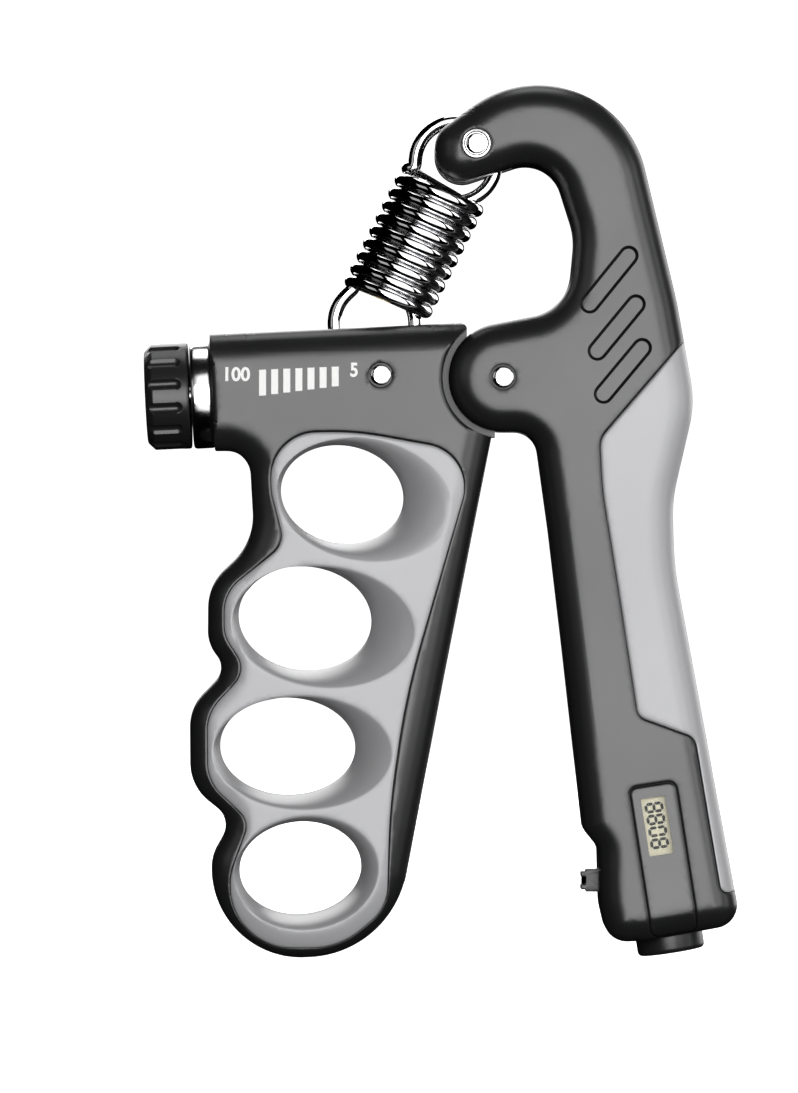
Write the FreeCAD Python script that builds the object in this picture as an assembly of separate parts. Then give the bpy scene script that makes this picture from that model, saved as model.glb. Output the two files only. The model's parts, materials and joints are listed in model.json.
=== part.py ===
import FreeCAD, Part
import math
import os

# Hand dynamometer: a counting hand gripper with a palm handle, a finger handle, a tension spring
# between them, a knob that moves the spring's lower hook, and a squeeze counter.
#
# Axes: +X from the finger handle towards the palm handle, +Z up the handles, Y across them,
# with the display on the -Y side. Everything is drawn round the hinge pivot, and the last step
# moves it so that the origin is the middle of the palm grip.

Vector = FreeCAD.Vector
UP_Y = Vector(0, 1, 0)

# ---- overall ----
HANDLE_WIDTH = 26.0            # across both handles, along Y
EDGE_ROUND = 4.6               # rounding of the handles' long edges
GRIP_FROM_PIVOT = Vector(22.0, 0, -36.0)
RUN_GAP = 0.05                 # radial clearance of shafts that turn
LIFT_GAP = 0.3                 # gap between parts of different bodies that only pass by
FIT_GAP = 0.1                  # clearance of parts that are dropped into a pocket

# ---- hinge ----
DISC_R = 10.6                  # hinge cheeks of the palm handle
DISC_GAP = 1.2                 # between the cheeks and the hollow in the finger handle
TONGUE_W = 9.4                 # the finger handle's tongue between the cheeks
TONGUE_R = 9.6
WASHER_T = 0.5
RIVET_R = 2.0
RIVET_HEAD_R = 2.25
RIVET_HEAD_T = 1.2
RIVET_BORE_R = RIVET_R + RUN_GAP
BUSH_WALL = 1.2

# ---- spring ----
WIRE_R = 1.35
COIL_R = 8.0                   # mean radius of the coils and of both loops
COIL_TURNS = 9
COIL_PITCH = 2.78
NOSE_PIN = (-5.2, 45.6)
NOSE_PIN_R = 1.25
NOSE_HEAD_R = 2.35
EYE_BUSH_R = 1.65
HOOK_PIN = (-27.2, 6.15)
HOOK_PIN_R = 1.55
TOP_LOOP = (-9.15, 42.55)      # middle of the loop round the nose pin
LOW_LOOP = (-25.1, 10.75)      # middle of the loop round the hook pin
LOOP_SLOT_W = 4.0              # width of the slots that the loops stand in

# ---- knob, collar and lead screw ----
SCREW_START = (-56.8, -3.2)    # where the screw's axis meets the housing's end
SCREW_TILT = 2.7               # degrees, rising to the right
SCREW_R = 2.0
SCREW_REACH = 30.2
JOURNAL_R = 1.6
COLLAR_R = 10.5
COLLAR_L = 4.2
SPIGOT_R = 5.5
END_WALL = 4.0
KNOB_R = 10.4
KNOB_L = 8.6
KNOB_GAP = 0.4
FLUTES = 14
FLUTE_R = 1.05
FLUTE_SHARE = 0.72             # of the knob's length
CHANNEL_END = 30.9
CHANNEL_HALF_W = 5.0
CHANNEL_BELOW = 3.6
CHANNEL_ABOVE = 10.0
TROUGH = (-49.0, -11.9)        # ends of the open trough that the spring's foot swings in
TROUGH_FLOOR = 5.0
TROUGH_WALL = 2.3
NOTCH_HALF_W = 6.4
NOTCH_RUN = 2.4
NOTCH_LIFT = 4.0
LUG_BAY = (-8.0, 2.95, -4.3)

# ---- finger handle ----
INSERT_T = 3.0                 # light insert's thickness at the face
SLEEVE_T = 1.5                 # its sleeves in the finger holes
CROSS_RIVET = (-23.9, 0.4)
FINGER_HOLES = (               # x, z, half length, half height, tilt in degrees
    (-31.5, -22.8, 12.1, 9.6, -10.0),
    (-38.8, -47.2, 13.1, 10.2, -6.0),
    (-42.2, -72.3, 13.3, 9.6, -1.0),
    (-39.7, -96.2, 12.0, 9.2, 6.0),
)
SCOOPS = (                     # the same holes where they flare out at the face
    (-27.2, -23.9, 17.2, 11.8, -10.0),
    (-35.2, -48.6, 17.6, 11.6, -6.0),
    (-39.3, -73.2, 17.2, 10.9, -1.0),
    (-38.5, -96.7, 14.0, 10.9, 6.0),
)
SCOOP_DEPTH = 9.0

# ---- palm handle ----
GRIP_T = 2.2                   # light grip insert's thickness
GRIP_SLOT_W = 3.9
GRIP_SLOT_DEPTH = 1.2
GRIP_SLOTS = (                 # both ends of each slot's middle line
    (16.9, 14.3, 24.5, 23.7),
    (18.4, 5.1, 25.9, 14.2),
    (19.6, -3.3, 27.1, 5.7),
)
BAY_START = (29.0, -79.5)      # top middle of the display panel
BAY_TILT = 8.86                # degrees that the bay leans from the vertical
PANEL_W = 9.2
PANEL_T = 3.5
BAY_DEPTH = 26.0
BUTTON_R = 6.6
BUTTON_OUT = 3.5
PLUNGER_Z = -98.6

# Outlines: x, z and corner radius of each corner, joined by straight lines.
TOP_OF_DISC = DISC_R * math.tan(math.radians(90 - 10.8) / 2)
PALM = (
    (-13.3, 47.7, 5.5), (-13.3, 36.2, 5.4), (9.2, 43.7, 7.2), (14.2, 28.0, 14.0), (12.8, 13.3, 9.5),
    (-DISC_R, TOP_OF_DISC, DISC_R), (-DISC_R, -DISC_R, DISC_R), (6.3, -DISC_R, 4.6), (9.0, -30.0, 60.0),
    (11.6, -52.0, 90.0), (16.1, -90.0, 5.0), (18.3, -94.0, 5.0), (18.9, -103.0, 12.0),
    (20.6, -110.4, 5.0), (28.0, -110.2, 12.0), (46.6, -106.8, 5.0), (33.6, -37.0, 60.0),
    (33.2, -24.0, 30.0), (37.6, -5.0, 22.0), (34.0, 15.0, 60.0), (20.3, 72.0, 21.6),
)
GRIP_INSERT = (
    (40.5, 13.0, 0.0), (18.9, -12.1, 4.5), (19.4, -22.0, 60.0), (22.3, -40.0, 120.0),
    (26.3, -66.2, 2.5), (37.5, -70.3, 3.0), (42.6, -100.8, 1.6), (50.0, -99.6, 0.0), (50.0, 13.0, 0.0),
)
FINGER = (
    (-66.0, 8.0, 0.0), (2.3, 11.15, 0.0), (-11.6, -59.1, 200.0), (-19.0, -98.0, 10.0),
    (-24.0, -112.6, 20.0), (-56.6, -114.4, 17.5), (-57.0, -93.5, 9.0), (-53.0, -86.4, 4.2),
    (-61.1, -80.0, 9.5), (-61.2, -64.5, 9.5), (-54.0, -57.0, 3.6), (-57.7, -52.0, 7.5),
    (-57.6, -40.5, 10.5), (-48.6, -32.0, 12.0), (-49.6, -14.2, 5.0), (-66.0, -14.3, 0.0),
)
FINGER_INSERT = (
    (-45.6, -11.0, 9.0), (-29.0, -10.6, 60.0), (-5.2, -14.9, 8.5), (-10.4, -32.5, 60.0),
    (-19.0, -62.0, 150.0), (-22.1, -84.0, 120.0), (-22.6, -103.5, 9.0), (-32.0, -111.4, 15.0),
    (-53.2, -111.4, 12.0), (-53.2, -97.0, 12.0), (-49.4, -86.6, 4.0), (-57.6, -79.0, 9.0),
    (-57.7, -65.5, 9.0), (-49.9, -57.2, 4.5), (-54.4, -50.5, 7.0), (-54.4, -42.0, 8.0),
    (-42.6, -32.6, 4.5), (-45.2, -22.5, 10.0),
)
PALM_SCREWS = ((10.0, 49.0), (20.0, 33.0), (14.5, -19.5), (19.4, -75.2), (31.5, -74.0))
FINGER_SCREWS = ((-16.6, -7.0), (-50.4, -10.2), (-15.9, -61.0), (-19.4, -86.0))
SCREW_HEAD_R = 2.0
SCREW_HEAD_T = 1.6
SCREW_SHANK_R = 1.2
SCREW_LENGTH = 16.0

HALF = HANDLE_WIDTH / 2


# ---------------------------------------------------------------- helpers

def corner_arc(before, corner, after):
    """Start, middle and end of the arc that rounds a corner, or the corner itself."""
    x, z, radius = corner
    here = Vector(x, 0, z)
    if radius == 0:
        return here, None, here
    back = (Vector(before[0], 0, before[1]) - here).normalize()
    ahead = (Vector(after[0], 0, after[1]) - here).normalize()
    half_angle = back.getAngle(ahead) / 2
    run = radius / math.tan(half_angle)
    to_middle = (back + ahead).normalize()
    middle = here + to_middle * (radius / math.sin(half_angle) - radius)
    return here + back * run, middle, here + ahead * run


def rounded_wire(corners, y):
    """A closed outline in the plane at y: straight lines joined by tangent arcs."""
    count = len(corners)
    arcs = [corner_arc(corners[i - 1], corners[i], corners[(i + 1) % count]) for i in range(count)]
    edges = []
    for i, (start, middle, end) in enumerate(arcs):
        last_end = arcs[i - 1][2]
        if last_end.distanceToPoint(start) > 1e-4:
            edges.append(Part.makeLine(last_end, start))
        if middle is not None:
            edges.append(Part.Arc(start, middle, end).toShape())
    wire = Part.Wire(Part.__sortEdges__(edges))
    wire.translate(Vector(0, y, 0))
    return wire


def plate(corners, y0, y1):
    """An outline drawn out along Y."""
    face = Part.Face(rounded_wire(corners, y0))
    return face.extrude(Vector(0, y1 - y0, 0))


def rod(x, z, radius, y0, y1):
    """A round bar along Y."""
    return Part.makeCylinder(radius, y1 - y0, Vector(x, y0, z), UP_Y)


def tube(x, z, outer, inner, y0, y1):
    """A round tube along Y."""
    return rod(x, z, outer, y0, y1).cut(rod(x, z, inner, y0, y1))


def block(x0, x1, y0, y1, z0, z1):
    """A box between two corners."""
    return Part.makeBox(x1 - x0, y1 - y0, z1 - z0, Vector(x0, y0, z0))


def oval_face(oval, y, grow=0.0):
    """A tilted ellipse in the plane at y, as a face."""
    x, z, half_long, half_high, tilt = oval
    along = Vector(math.cos(math.radians(tilt)), 0, math.sin(math.radians(tilt)))
    ellipse = Part.Ellipse(Vector(x, y, z) + along * (half_long + grow),
                           Vector(x, y, z) + along.cross(UP_Y) * (half_high + grow),
                           Vector(x, y, z))
    return Part.Face(Part.Wire(ellipse.toShape()))


def oval_bar(oval, y0, y1, grow=0.0):
    """A tilted ellipse drawn out along Y."""
    return oval_face(oval, y0, grow).extrude(Vector(0, y1 - y0, 0))


def long_slot(x0, z0, x1, z1, width, y0, y1):
    """A slot with round ends, drawn out along Y."""
    radius = width / 2
    run = Vector(x1 - x0, 0, z1 - z0)
    side = run.cross(UP_Y).normalize() * radius
    start = Vector(x0, y0, z0)
    corners = [start + side, start + run + side, start + run - side, start - side]
    middle = Part.Face(Part.makePolygon(corners + corners[:1])).extrude(Vector(0, y1 - y0, 0))
    return middle.fuse([rod(x0, z0, radius, y0, y1), rod(x1, z1, radius, y0, y1)]).removeSplitter()


def round_rims(shape, radius):
    """Round the edges that lie in the two side faces."""
    rims = []
    for edge in shape.Edges:
        box = edge.BoundBox
        if box.YLength < 1e-6 and abs(abs(box.YMin) - HALF) < 1e-6:
            rims.append(edge)
    return shape.makeFillet(radius, rims)


def in_screw_frame(shape):
    """Move a shape drawn round the X axis onto the lead screw's axis."""
    placed = shape.copy()
    placed.rotate(Vector(0, 0, 0), UP_Y, -SCREW_TILT)
    placed.translate(Vector(SCREW_START[0], 0, SCREW_START[1]))
    return placed


def in_bay_frame(shape):
    """Move a shape drawn with X down the handle and Z across it into the display bay."""
    placed = shape.copy()
    placed.rotate(Vector(0, 0, 0), UP_Y, 90 - BAY_TILT)
    placed.translate(Vector(BAY_START[0], 0, BAY_START[1]))
    return placed


def bay_block(u0, u1, v0, v1, y0, y1):
    """A box in the display bay: u runs down the handle, v across it."""
    return in_bay_frame(block(u0, u1, y0, y1, v0, v1))


def bay_rod(radius, u0, u1, v):
    """A round bar down the handle's lower end."""
    return in_bay_frame(Part.makeCylinder(radius, u1 - u0, Vector(u0, 0, v), Vector(1, 0, 0)))


def axis_rod(radius, s0, s1):
    """A round bar on the lead screw's axis."""
    return in_screw_frame(Part.makeCylinder(radius, s1 - s0, Vector(s0, 0, 0), Vector(1, 0, 0)))


def axis_block(s0, s1, half_width, h0, h1):
    """A box along the lead screw's axis."""
    return in_screw_frame(block(s0, s1, -half_width, half_width, h0, h1))


def cut_each(shape, tools):
    """Cut the tools from a shape, one after another."""
    for tool in tools:
        shape = shape.cut(tool)
    return shape


def both_sides(shape):
    """The shape and its mirror image on the other side of the handle."""
    return [shape, shape.mirror(Vector(0, 0, 0), UP_Y)]


def halves(shape):
    """The front and back half of a handle, parted in the middle plane."""
    big = 400.0
    front = shape.common(block(-big, big, -big, 0, -big, big))
    back = shape.common(block(-big, big, 0, big, -big, big))
    return front, back


def countersunk_screws(places, head_y):
    """Screws that go in from the back, with flat heads just under the surface."""
    screws = []
    for x, z in places:
        head = rod(x, z, SCREW_HEAD_R, head_y - SCREW_HEAD_T, head_y)
        shank = rod(x, z, SCREW_SHANK_R, head_y - SCREW_LENGTH, head_y - SCREW_HEAD_T)
        drive = rod(x, z, 0.9, head_y - 0.8, head_y)
        screws.append(head.fuse(shank).removeSplitter().cut(drive))
    return screws


def screw_holes(places, head_y):
    """Holes for the screws, with counterbores open to the back."""
    holes = []
    for x, z in places:
        holes.append(rod(x, z, SCREW_SHANK_R, head_y - SCREW_LENGTH, head_y))
        holes.append(rod(x, z, SCREW_HEAD_R + FIT_GAP, head_y - SCREW_HEAD_T, HALF + 1))
    return holes


# ---------------------------------------------------------------- palm handle

def palm_blank():
    """The palm handle's outside: hook, hinge disc and grip, with rounded edges."""
    return round_rims(plate(PALM, -HALF, HALF), EDGE_ROUND)


def grip_insert(blank):
    """The light insert that wraps round the back of the grip."""
    zone = plate(GRIP_INSERT, -HALF, HALF)
    core_half = HALF - GRIP_T
    core = plate(PALM, -core_half, core_half)
    core.translate(Vector(-GRIP_T, 0, 0))
    return blank.common(zone).cut(core)


def tongue_pocket():
    """The room between the cheeks, in which the finger handle's tongue turns."""
    half_gap = TONGUE_W / 2 + WASHER_T + FIT_GAP / 2
    return rod(0, 0, DISC_R + 1.8, -half_gap, half_gap)


def nose_slot():
    """The slot in the nose, in which the spring's top loop stands and swings."""
    half_gap = LOOP_SLOT_W / 2
    reach = COIL_R + WIRE_R + 0.8
    swing = [rod(TOP_LOOP[0] + dx, TOP_LOOP[1] + dz, reach, -half_gap, half_gap)
             for dx, dz in ((0, 0), (-1.3, 1.1), (1.0, -1.2))]
    return swing[0].fuse(swing[1:])


def palm_cavities():
    """The hollow in the grip, the bay for the electronics, and the ways out of it."""
    grip = plate(((12.6, -26.0, 2.0), (29.6, -26.0, 2.0), (30.2, -40.0, 30.0), (34.4, -70.0, 2.0),
                  (18.6, -71.6, 2.0)), -HALF + GRIP_T + 2, HALF - GRIP_T - 2)
    bay = bay_block(-1.0, BAY_DEPTH, -7.5, 6.5, -HALF + PANEL_T, HALF - 3.5)
    button_bore = bay_rod(BUTTON_R + FIT_GAP, BAY_DEPTH + 1.5, 40.0, -0.9)
    stem_bore = bay_rod(2.0, BAY_DEPTH - 0.1, BAY_DEPTH + 1.6, -0.9)
    plunger_way = block(10.0, 22.3, -2.6, 2.6, PLUNGER_Z - 2.3, PLUNGER_Z + 2.3)
    plunger_bore = Part.makeCylinder(1.4, 4.0, Vector(22.0, 0, PLUNGER_Z), Vector(1, 0, 0))
    return [grip, bay, button_bore, stem_bore, plunger_way, plunger_bore]


def cheek_bores():
    """The rivet's bore through both cheeks and the sinks for its heads."""
    bores = [rod(0, 0, RIVET_R, -HALF - 1, HALF + 1)]
    for head in both_sides(rod(0, 0, RIVET_HEAD_R, -HALF - 1, -HALF + RIVET_HEAD_T)):
        bores.append(head)
    return bores


def nose_bores():
    """The nose pin's bore and the sinks for its heads."""
    x, z = NOSE_PIN
    bores = [rod(x, z, NOSE_PIN_R, -HALF - 1, HALF + 1)]
    for head in both_sides(rod(x, z, NOSE_HEAD_R, -HALF - 1, -HALF + RIVET_HEAD_T)):
        bores.append(head)
    return bores


def headed_pin(x, z, shaft_r, head_r):
    """A pin across the handle, with a low round head at each end."""
    pin = rod(x, z, shaft_r, -HALF + RIVET_HEAD_T, HALF - RIVET_HEAD_T)
    for head in both_sides(rod(x, z, head_r, -HALF + 0.3, -HALF + RIVET_HEAD_T)):
        pin = pin.fuse(head)
    return pin.removeSplitter()


def display_panel(blank):
    """The dark panel round the display, flush with the handle's face."""
    half = PANEL_W / 2
    zone = bay_block(0, 30.2, -half, half, -HALF, -HALF + PANEL_T)
    window = bay_block(2.4, 13.8, -2.6, 2.2, -HALF - 1, -HALF + 1)
    pocket = bay_block(1.4, 14.8, -3.8, 3.4, -HALF + 0.6, -HALF + PANEL_T)
    zone = zone.cut(bay_block(BAY_DEPTH + 1.3, 31.0, -half, half, -HALF + 2.6, 0))
    return zone.common(blank), window.fuse(pocket)


def palm_handle():
    """Every piece that stays with the palm handle."""
    blank = palm_blank()
    insert = grip_insert(blank)
    panel_zone, panel_cuts = display_panel(blank)
    cuts = [insert, panel_zone, tongue_pocket(), nose_slot()]
    cuts += palm_cavities() + cheek_bores() + nose_bores() + screw_holes(PALM_SCREWS, HALF - 0.6)
    for ends in GRIP_SLOTS:
        slot = long_slot(*ends, GRIP_SLOT_W, -HALF - 1, -HALF + GRIP_SLOT_DEPTH)
        cuts += both_sides(slot)
    front, back = halves(cut_each(blank, cuts))
    bay_y = -HALF + PANEL_T
    lcd = bay_block(1.5, 14.7, -3.7, 3.3, -HALF + 1.4, bay_y)
    board = bay_block(1.0, 24.5, -6.8, 5.8, bay_y + 0.9, bay_y + 2.1)
    strips = [bay_block(1.6, 3.0, v, v + 1.2, bay_y, bay_y + 0.9) for v in (-3.0, 1.6)]
    cell_u, cell_v = 8.2, -0.6
    cell_y = bay_y + 8.5
    cell = in_bay_frame(Part.makeCylinder(5.8, 5.4, Vector(cell_u, cell_y, cell_v), UP_Y))
    clip = bay_block(6.0, 10.4, -6.6, 5.4, cell_y - 0.4, cell_y)
    clip = clip.fuse(bay_block(6.0, 10.4, -6.7, -6.5, bay_y + 2.1, cell_y)).removeSplitter()
    gap_half = TONGUE_W / 2
    washers = both_sides(tube(0, 0, 6.0, RIVET_BORE_R, -gap_half - WASHER_T, -gap_half))
    return {
        "palm_shell_front": front,
        "palm_shell_back": back,
        "palm_grip_insert": insert,
        "palm_shell_screws": Part.makeCompound(countersunk_screws(PALM_SCREWS, HALF - 0.6)),
        "pivot_rivet": headed_pin(0, 0, RIVET_R, RIVET_HEAD_R),
        "hinge_washers": Part.makeCompound(washers),
        "nose_pin": headed_pin(*NOSE_PIN, NOSE_PIN_R, NOSE_HEAD_R),
        "display_panel": panel_zone.cut(panel_cuts),
        "display_window": bay_block(1.5, 14.7, -3.7, 3.3, -HALF + 0.6, -HALF + 1.4),
        "display_glass": lcd,
        "contact_strips": Part.makeCompound(strips),
        "circuit_board": board,
        "coin_cell": cell,
        "cell_clip": clip,
        "count_switch": block(26.7, 28.9, bay_y + 2.1, 2.6, PLUNGER_Z - 2.8, PLUNGER_Z + 2.8),
        "reset_switch": bay_block(20.6, 23.4, -2.7, 1.3, bay_y + 2.1, 2.0),
        "count_spring": plunger_ring(1.5, 2.1, 21.6, 22.2),
        "reset_spring": bay_rod(4.4, BAY_DEPTH + 1.5, BAY_DEPTH + 2.9, -0.9).cut(
            bay_rod(2.4, BAY_DEPTH + 1.5, BAY_DEPTH + 2.9, -0.9)),
    }


def plunger_ring(inner, outer, x0, x1):
    """A ring round the count plunger's stem."""
    start = Vector(x0, 0, PLUNGER_Z)
    along = Vector(1, 0, 0)
    return Part.makeCylinder(outer, x1 - x0, start, along).cut(
        Part.makeCylinder(inner, x1 - x0, start, along))


def count_plunger():
    """The small ribbed trigger on the inner edge, which a full squeeze pushes in."""
    head = block(16.1, 20.5, -2.5, 2.5, PLUNGER_Z - 2.2, PLUNGER_Z + 2.2)
    prongs = [block(15.3, 16.1, -2.5, 2.5, PLUNGER_Z + z, PLUNGER_Z + z + 0.9) for z in (-1.6, 0.7)]
    stem = Part.makeCylinder(1.3, 4.5, Vector(20.5, 0, PLUNGER_Z), Vector(1, 0, 0))
    tip = Part.makeCylinder(1.9, 0.5, Vector(25.0, 0, PLUNGER_Z), Vector(1, 0, 0))
    return head.fuse(prongs + [stem, tip]).removeSplitter()


def reset_button():
    """The round button in the palm handle's lower end, with its stem and snap head."""
    top = BAY_DEPTH + 2.9
    cap = in_bay_frame(Part.makeCylinder(BUTTON_R, 30.0 + BUTTON_OUT - top, Vector(top, 0, -0.9),
                                         Vector(1, 0, 0)))
    far_edges = [edge for edge in cap.Edges if edge.BoundBox.ZMin < cap.BoundBox.ZMin + 2.2
                 and len(edge.Vertexes) == 1]
    cap = cap.makeFillet(0.8, far_edges[:1])
    stem = bay_rod(1.9, BAY_DEPTH - 1.1, top, -0.9)
    head = bay_rod(2.6, BAY_DEPTH - 1.1, BAY_DEPTH - 0.3, -0.9)
    return cap.fuse([stem, head]).removeSplitter()


# ---------------------------------------------------------------- finger handle

def finger_blank():
    """The finger handle's outside, hollowed round the hinge disc, with its tongue."""
    body = round_rims(plate(FINGER, -HALF, HALF), EDGE_ROUND).cut(axis_block(-20, 0, 30, -30, 30))
    hollow = rod(0, 0, DISC_R + DISC_GAP, -HALF - 1, HALF + 1)
    half_tongue = TONGUE_W / 2
    tongue = rod(0, 0, TONGUE_R, -half_tongue, half_tongue)
    link = block(-13.5, 0, -half_tongue, half_tongue, -8.0, 8.0)
    return body.cut(hollow).fuse([tongue, link]).removeSplitter()


def finger_hole(hole, flare, grow=0.0):
    """The front half of a finger hole: straight inside, flared to a wider oval at the face."""
    rings = [oval_face(flare, -HALF - 0.01, grow).OuterWire,
             oval_face(hole, -HALF + SCOOP_DEPTH, grow).OuterWire,
             oval_face(hole, 0.01 if grow == 0 else 0, grow).OuterWire]
    return Part.makeLoft(rings, True, True)


def finger_cuts():
    """The four finger holes, in both halves."""
    cuts = []
    for hole, flare in zip(FINGER_HOLES, SCOOPS):
        cuts += both_sides(finger_hole(hole, flare))
    return cuts


def insert_zone():
    """The space of the front insert: a plate under the face that also lines each hole."""
    face = plate(FINGER_INSERT, -HALF, -HALF + INSERT_T)
    linings = []
    for hole, flare in zip(FINGER_HOLES, SCOOPS):
        linings.append(finger_hole(hole, flare, SLEEVE_T).common(plate(FINGER_INSERT, -HALF, 0)))
    return face.fuse(linings)


def screw_room():
    """The slider's channel, the slot for the spring's loop, the open trough above, and the screw's way in."""
    channel = axis_block(END_WALL, CHANNEL_END, CHANNEL_HALF_W, -CHANNEL_BELOW, CHANNEL_ABOVE)
    half_slot = LOOP_SLOT_W / 2
    low = LOW_LOOP[1] - COIL_R - WIRE_R - 1.0
    slot = block(TROUGH[0], -14.2, -half_slot, half_slot, low, 30.0)
    half_trough = HALF - TROUGH_WALL
    trough = block(TROUGH[0], TROUGH[1], -half_trough, half_trough, TROUGH_FLOOR, 30.0)
    corners = [edge for edge in trough.Edges if edge.BoundBox.ZLength > 20]
    spigot_bore = axis_rod(SPIGOT_R, -1.0, END_WALL)
    x, z = HOOK_PIN
    notch_floor = TROUGH_FLOOR + NOTCH_LIFT
    notch = block(TROUGH[1] - 1.0, TROUGH[1] + NOTCH_RUN, -NOTCH_HALF_W, NOTCH_HALF_W, notch_floor, 30.0)
    left, right, low = LUG_BAY
    bay = block(x + left, x + right, -CHANNEL_HALF_W, CHANNEL_HALF_W, z + low, TROUGH_FLOOR + 1.0)
    return [channel, slot, trough.makeFillet(3.0, corners), notch, bay, spigot_bore]


def finger_handle():
    """Every piece that stays with the finger handle."""
    blank = finger_blank()
    holes = finger_cuts()
    front_zone = insert_zone()
    zones = both_sides(front_zone)
    x, z = CROSS_RIVET
    rivet = rod(x, z, 1.25, -HALF + RIVET_HEAD_T, -3.0).fuse(
        rod(x, z, 2.15, -HALF + 0.3, -HALF + RIVET_HEAD_T)).removeSplitter()
    rivet_sink = rod(x, z, 2.15, -HALF - 1, -HALF + RIVET_HEAD_T)
    rivet_bore = rod(x, z, 1.25, -HALF, -3.0)
    bush_r = RIVET_BORE_R + BUSH_WALL
    cuts = zones + screw_room() + screw_holes(FINGER_SCREWS, HALF - 1.2)
    cuts += both_sides(rivet_sink) + both_sides(rivet_bore)
    cuts.append(rod(0, 0, bush_r, -HALF, HALF))
    front, back = halves(cut_each(blank, cuts))
    inserts = [cut_each(blank.common(zone), holes) for zone in zones]
    collar = axis_rod(COLLAR_R, -COLLAR_L, 0).fuse(axis_rod(SPIGOT_R, 0, END_WALL)).removeSplitter()
    collar = collar.cut(axis_rod(JOURNAL_R + RUN_GAP, -COLLAR_L - 1, END_WALL + 1))
    half_tongue = TONGUE_W / 2
    return {
        "finger_frame_front": front,
        "finger_frame_back": back,
        "finger_insert_front": inserts[0],
        "finger_insert_back": inserts[1],
        "finger_frame_screws": Part.makeCompound(countersunk_screws(FINGER_SCREWS, HALF - 1.2)),
        "pivot_bush": tube(0, 0, bush_r, RIVET_BORE_R, -half_tongue, half_tongue),
        "housing_rivets": Part.makeCompound(both_sides(rivet)),
        "thrust_collar": collar,
    }


# ---------------------------------------------------------------- knob, screw and slider

def knob():
    """The ribbed force knob, with a chamfered outer end."""
    start = -COLLAR_L - KNOB_GAP - KNOB_L
    body = Part.makeCylinder(KNOB_R, KNOB_L, Vector(start, 0, 0), Vector(1, 0, 0))
    rim = [edge for edge in body.Edges if edge.BoundBox.XMax < start + 0.01]
    body = body.makeChamfer(1.4, rim)
    flute_end = start + KNOB_L * FLUTE_SHARE
    flutes = []
    for i in range(FLUTES):
        angle = 2 * math.pi * i / FLUTES
        out = Vector(0, math.cos(angle), math.sin(angle)) * (KNOB_R + 0.35)
        flutes.append(Part.makeCylinder(FLUTE_R, flute_end - start + 1, out + Vector(start - 1, 0, 0),
                                        Vector(1, 0, 0)))
        flutes.append(Part.makeSphere(FLUTE_R, out + Vector(flute_end, 0, 0)))
    return in_screw_frame(body.cut(flutes)).cut(axis_rod(JOURNAL_R, -10.5, 0))


def knob_group():
    """The knob, the lead screw fixed in it, and the clip that keeps the screw in."""
    screw = axis_rod(JOURNAL_R, -10.5, END_WALL + 1.2).fuse(
        axis_rod(SCREW_R, END_WALL + 1.2, SCREW_REACH)).removeSplitter()
    clip = axis_rod(3.2, END_WALL + 0.2, END_WALL + 1.0).cut(axis_rod(JOURNAL_R, END_WALL, END_WALL + 2))
    return {"force_knob": knob(), "lead_screw": screw, "screw_clip": clip}


def slider_group():
    """The nut that runs on the lead screw, and the pin that holds the spring's hook."""
    x, z = HOOK_PIN
    hook_s = (x - SCREW_START[0]) * math.cos(math.radians(SCREW_TILT))
    side_gap = CHANNEL_HALF_W - 0.2
    nut = axis_block(hook_s - 5.2, hook_s + 0.9, side_gap, -3.3, 3.0)
    lugs = block(x - 3.0, x + 0.9 + HOOK_PIN_R, -side_gap, side_gap, z - 4.0, z + HOOK_PIN_R + 0.2)
    room = block(x - 30, x + 30, -LOOP_SLOT_W / 2, LOOP_SLOT_W / 2, LOW_LOOP[1] - COIL_R - WIRE_R - 0.6, 40)
    nut = nut.fuse(lugs).removeSplitter().cut(room)
    nut = nut.cut([axis_rod(SCREW_R + RUN_GAP, 0, 60), rod(x, z, HOOK_PIN_R, -side_gap, side_gap)])
    return {"slider_nut": nut, "hook_pin": rod(x, z, HOOK_PIN_R, -side_gap, side_gap)}


# ---------------------------------------------------------------- spring

def coil_part(first, last):
    """Some of the spring's turns, as round wire wound on the line between the two loops."""
    helix = Part.makeLongHelix(COIL_PITCH, COIL_PITCH * (last - first), COIL_R)
    section = Part.Wire(Part.Circle(Vector(COIL_R, 0, 0), UP_Y, WIRE_R).toShape())
    turns = Part.Wire(helix.Edges).makePipeShell([section], True, True)
    turns.rotate(Vector(0, 0, 0), Vector(0, 0, 1), 180 + 360 * first)
    axis = Vector(TOP_LOOP[0] - LOW_LOOP[0], 0, TOP_LOOP[1] - LOW_LOOP[1])
    spare = (axis.Length - COIL_TURNS * COIL_PITCH) / 2
    turns.translate(Vector(0, 0, spare + first * COIL_PITCH))
    turns.rotate(Vector(0, 0, 0), UP_Y, math.degrees(math.atan2(axis.x, axis.z)))
    turns.translate(Vector(LOW_LOOP[0], 0, LOW_LOOP[1]))
    return turns


def loop(middle, turn):
    """One end loop of the spring: most of a ring of wire in the middle plane."""
    ring = Part.makeTorus(COIL_R, WIRE_R, Vector(0, 0, 0), Vector(0, 0, 1), -180, 180, 300)
    ring.rotate(Vector(0, 0, 0), Vector(1, 0, 0), 90)
    ring.rotate(Vector(0, 0, 0), UP_Y, turn)
    ring.translate(Vector(middle[0], 0, middle[1]))
    return ring


def spring():
    """The tension spring: one piece of wire, held as the three lengths that move apart."""
    third = COIL_TURNS / 3
    return {
        "spring_upper": coil_part(2 * third, COIL_TURNS).fuse(loop(TOP_LOOP, -30.0 + 180.0 - 63.4)),
        "spring_middle": coil_part(third, 2 * third),
        "spring_lower": coil_part(0, third).fuse(loop(LOW_LOOP, -30.0 - 63.4)),
    }


# ---------------------------------------------------------------- the whole

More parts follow.
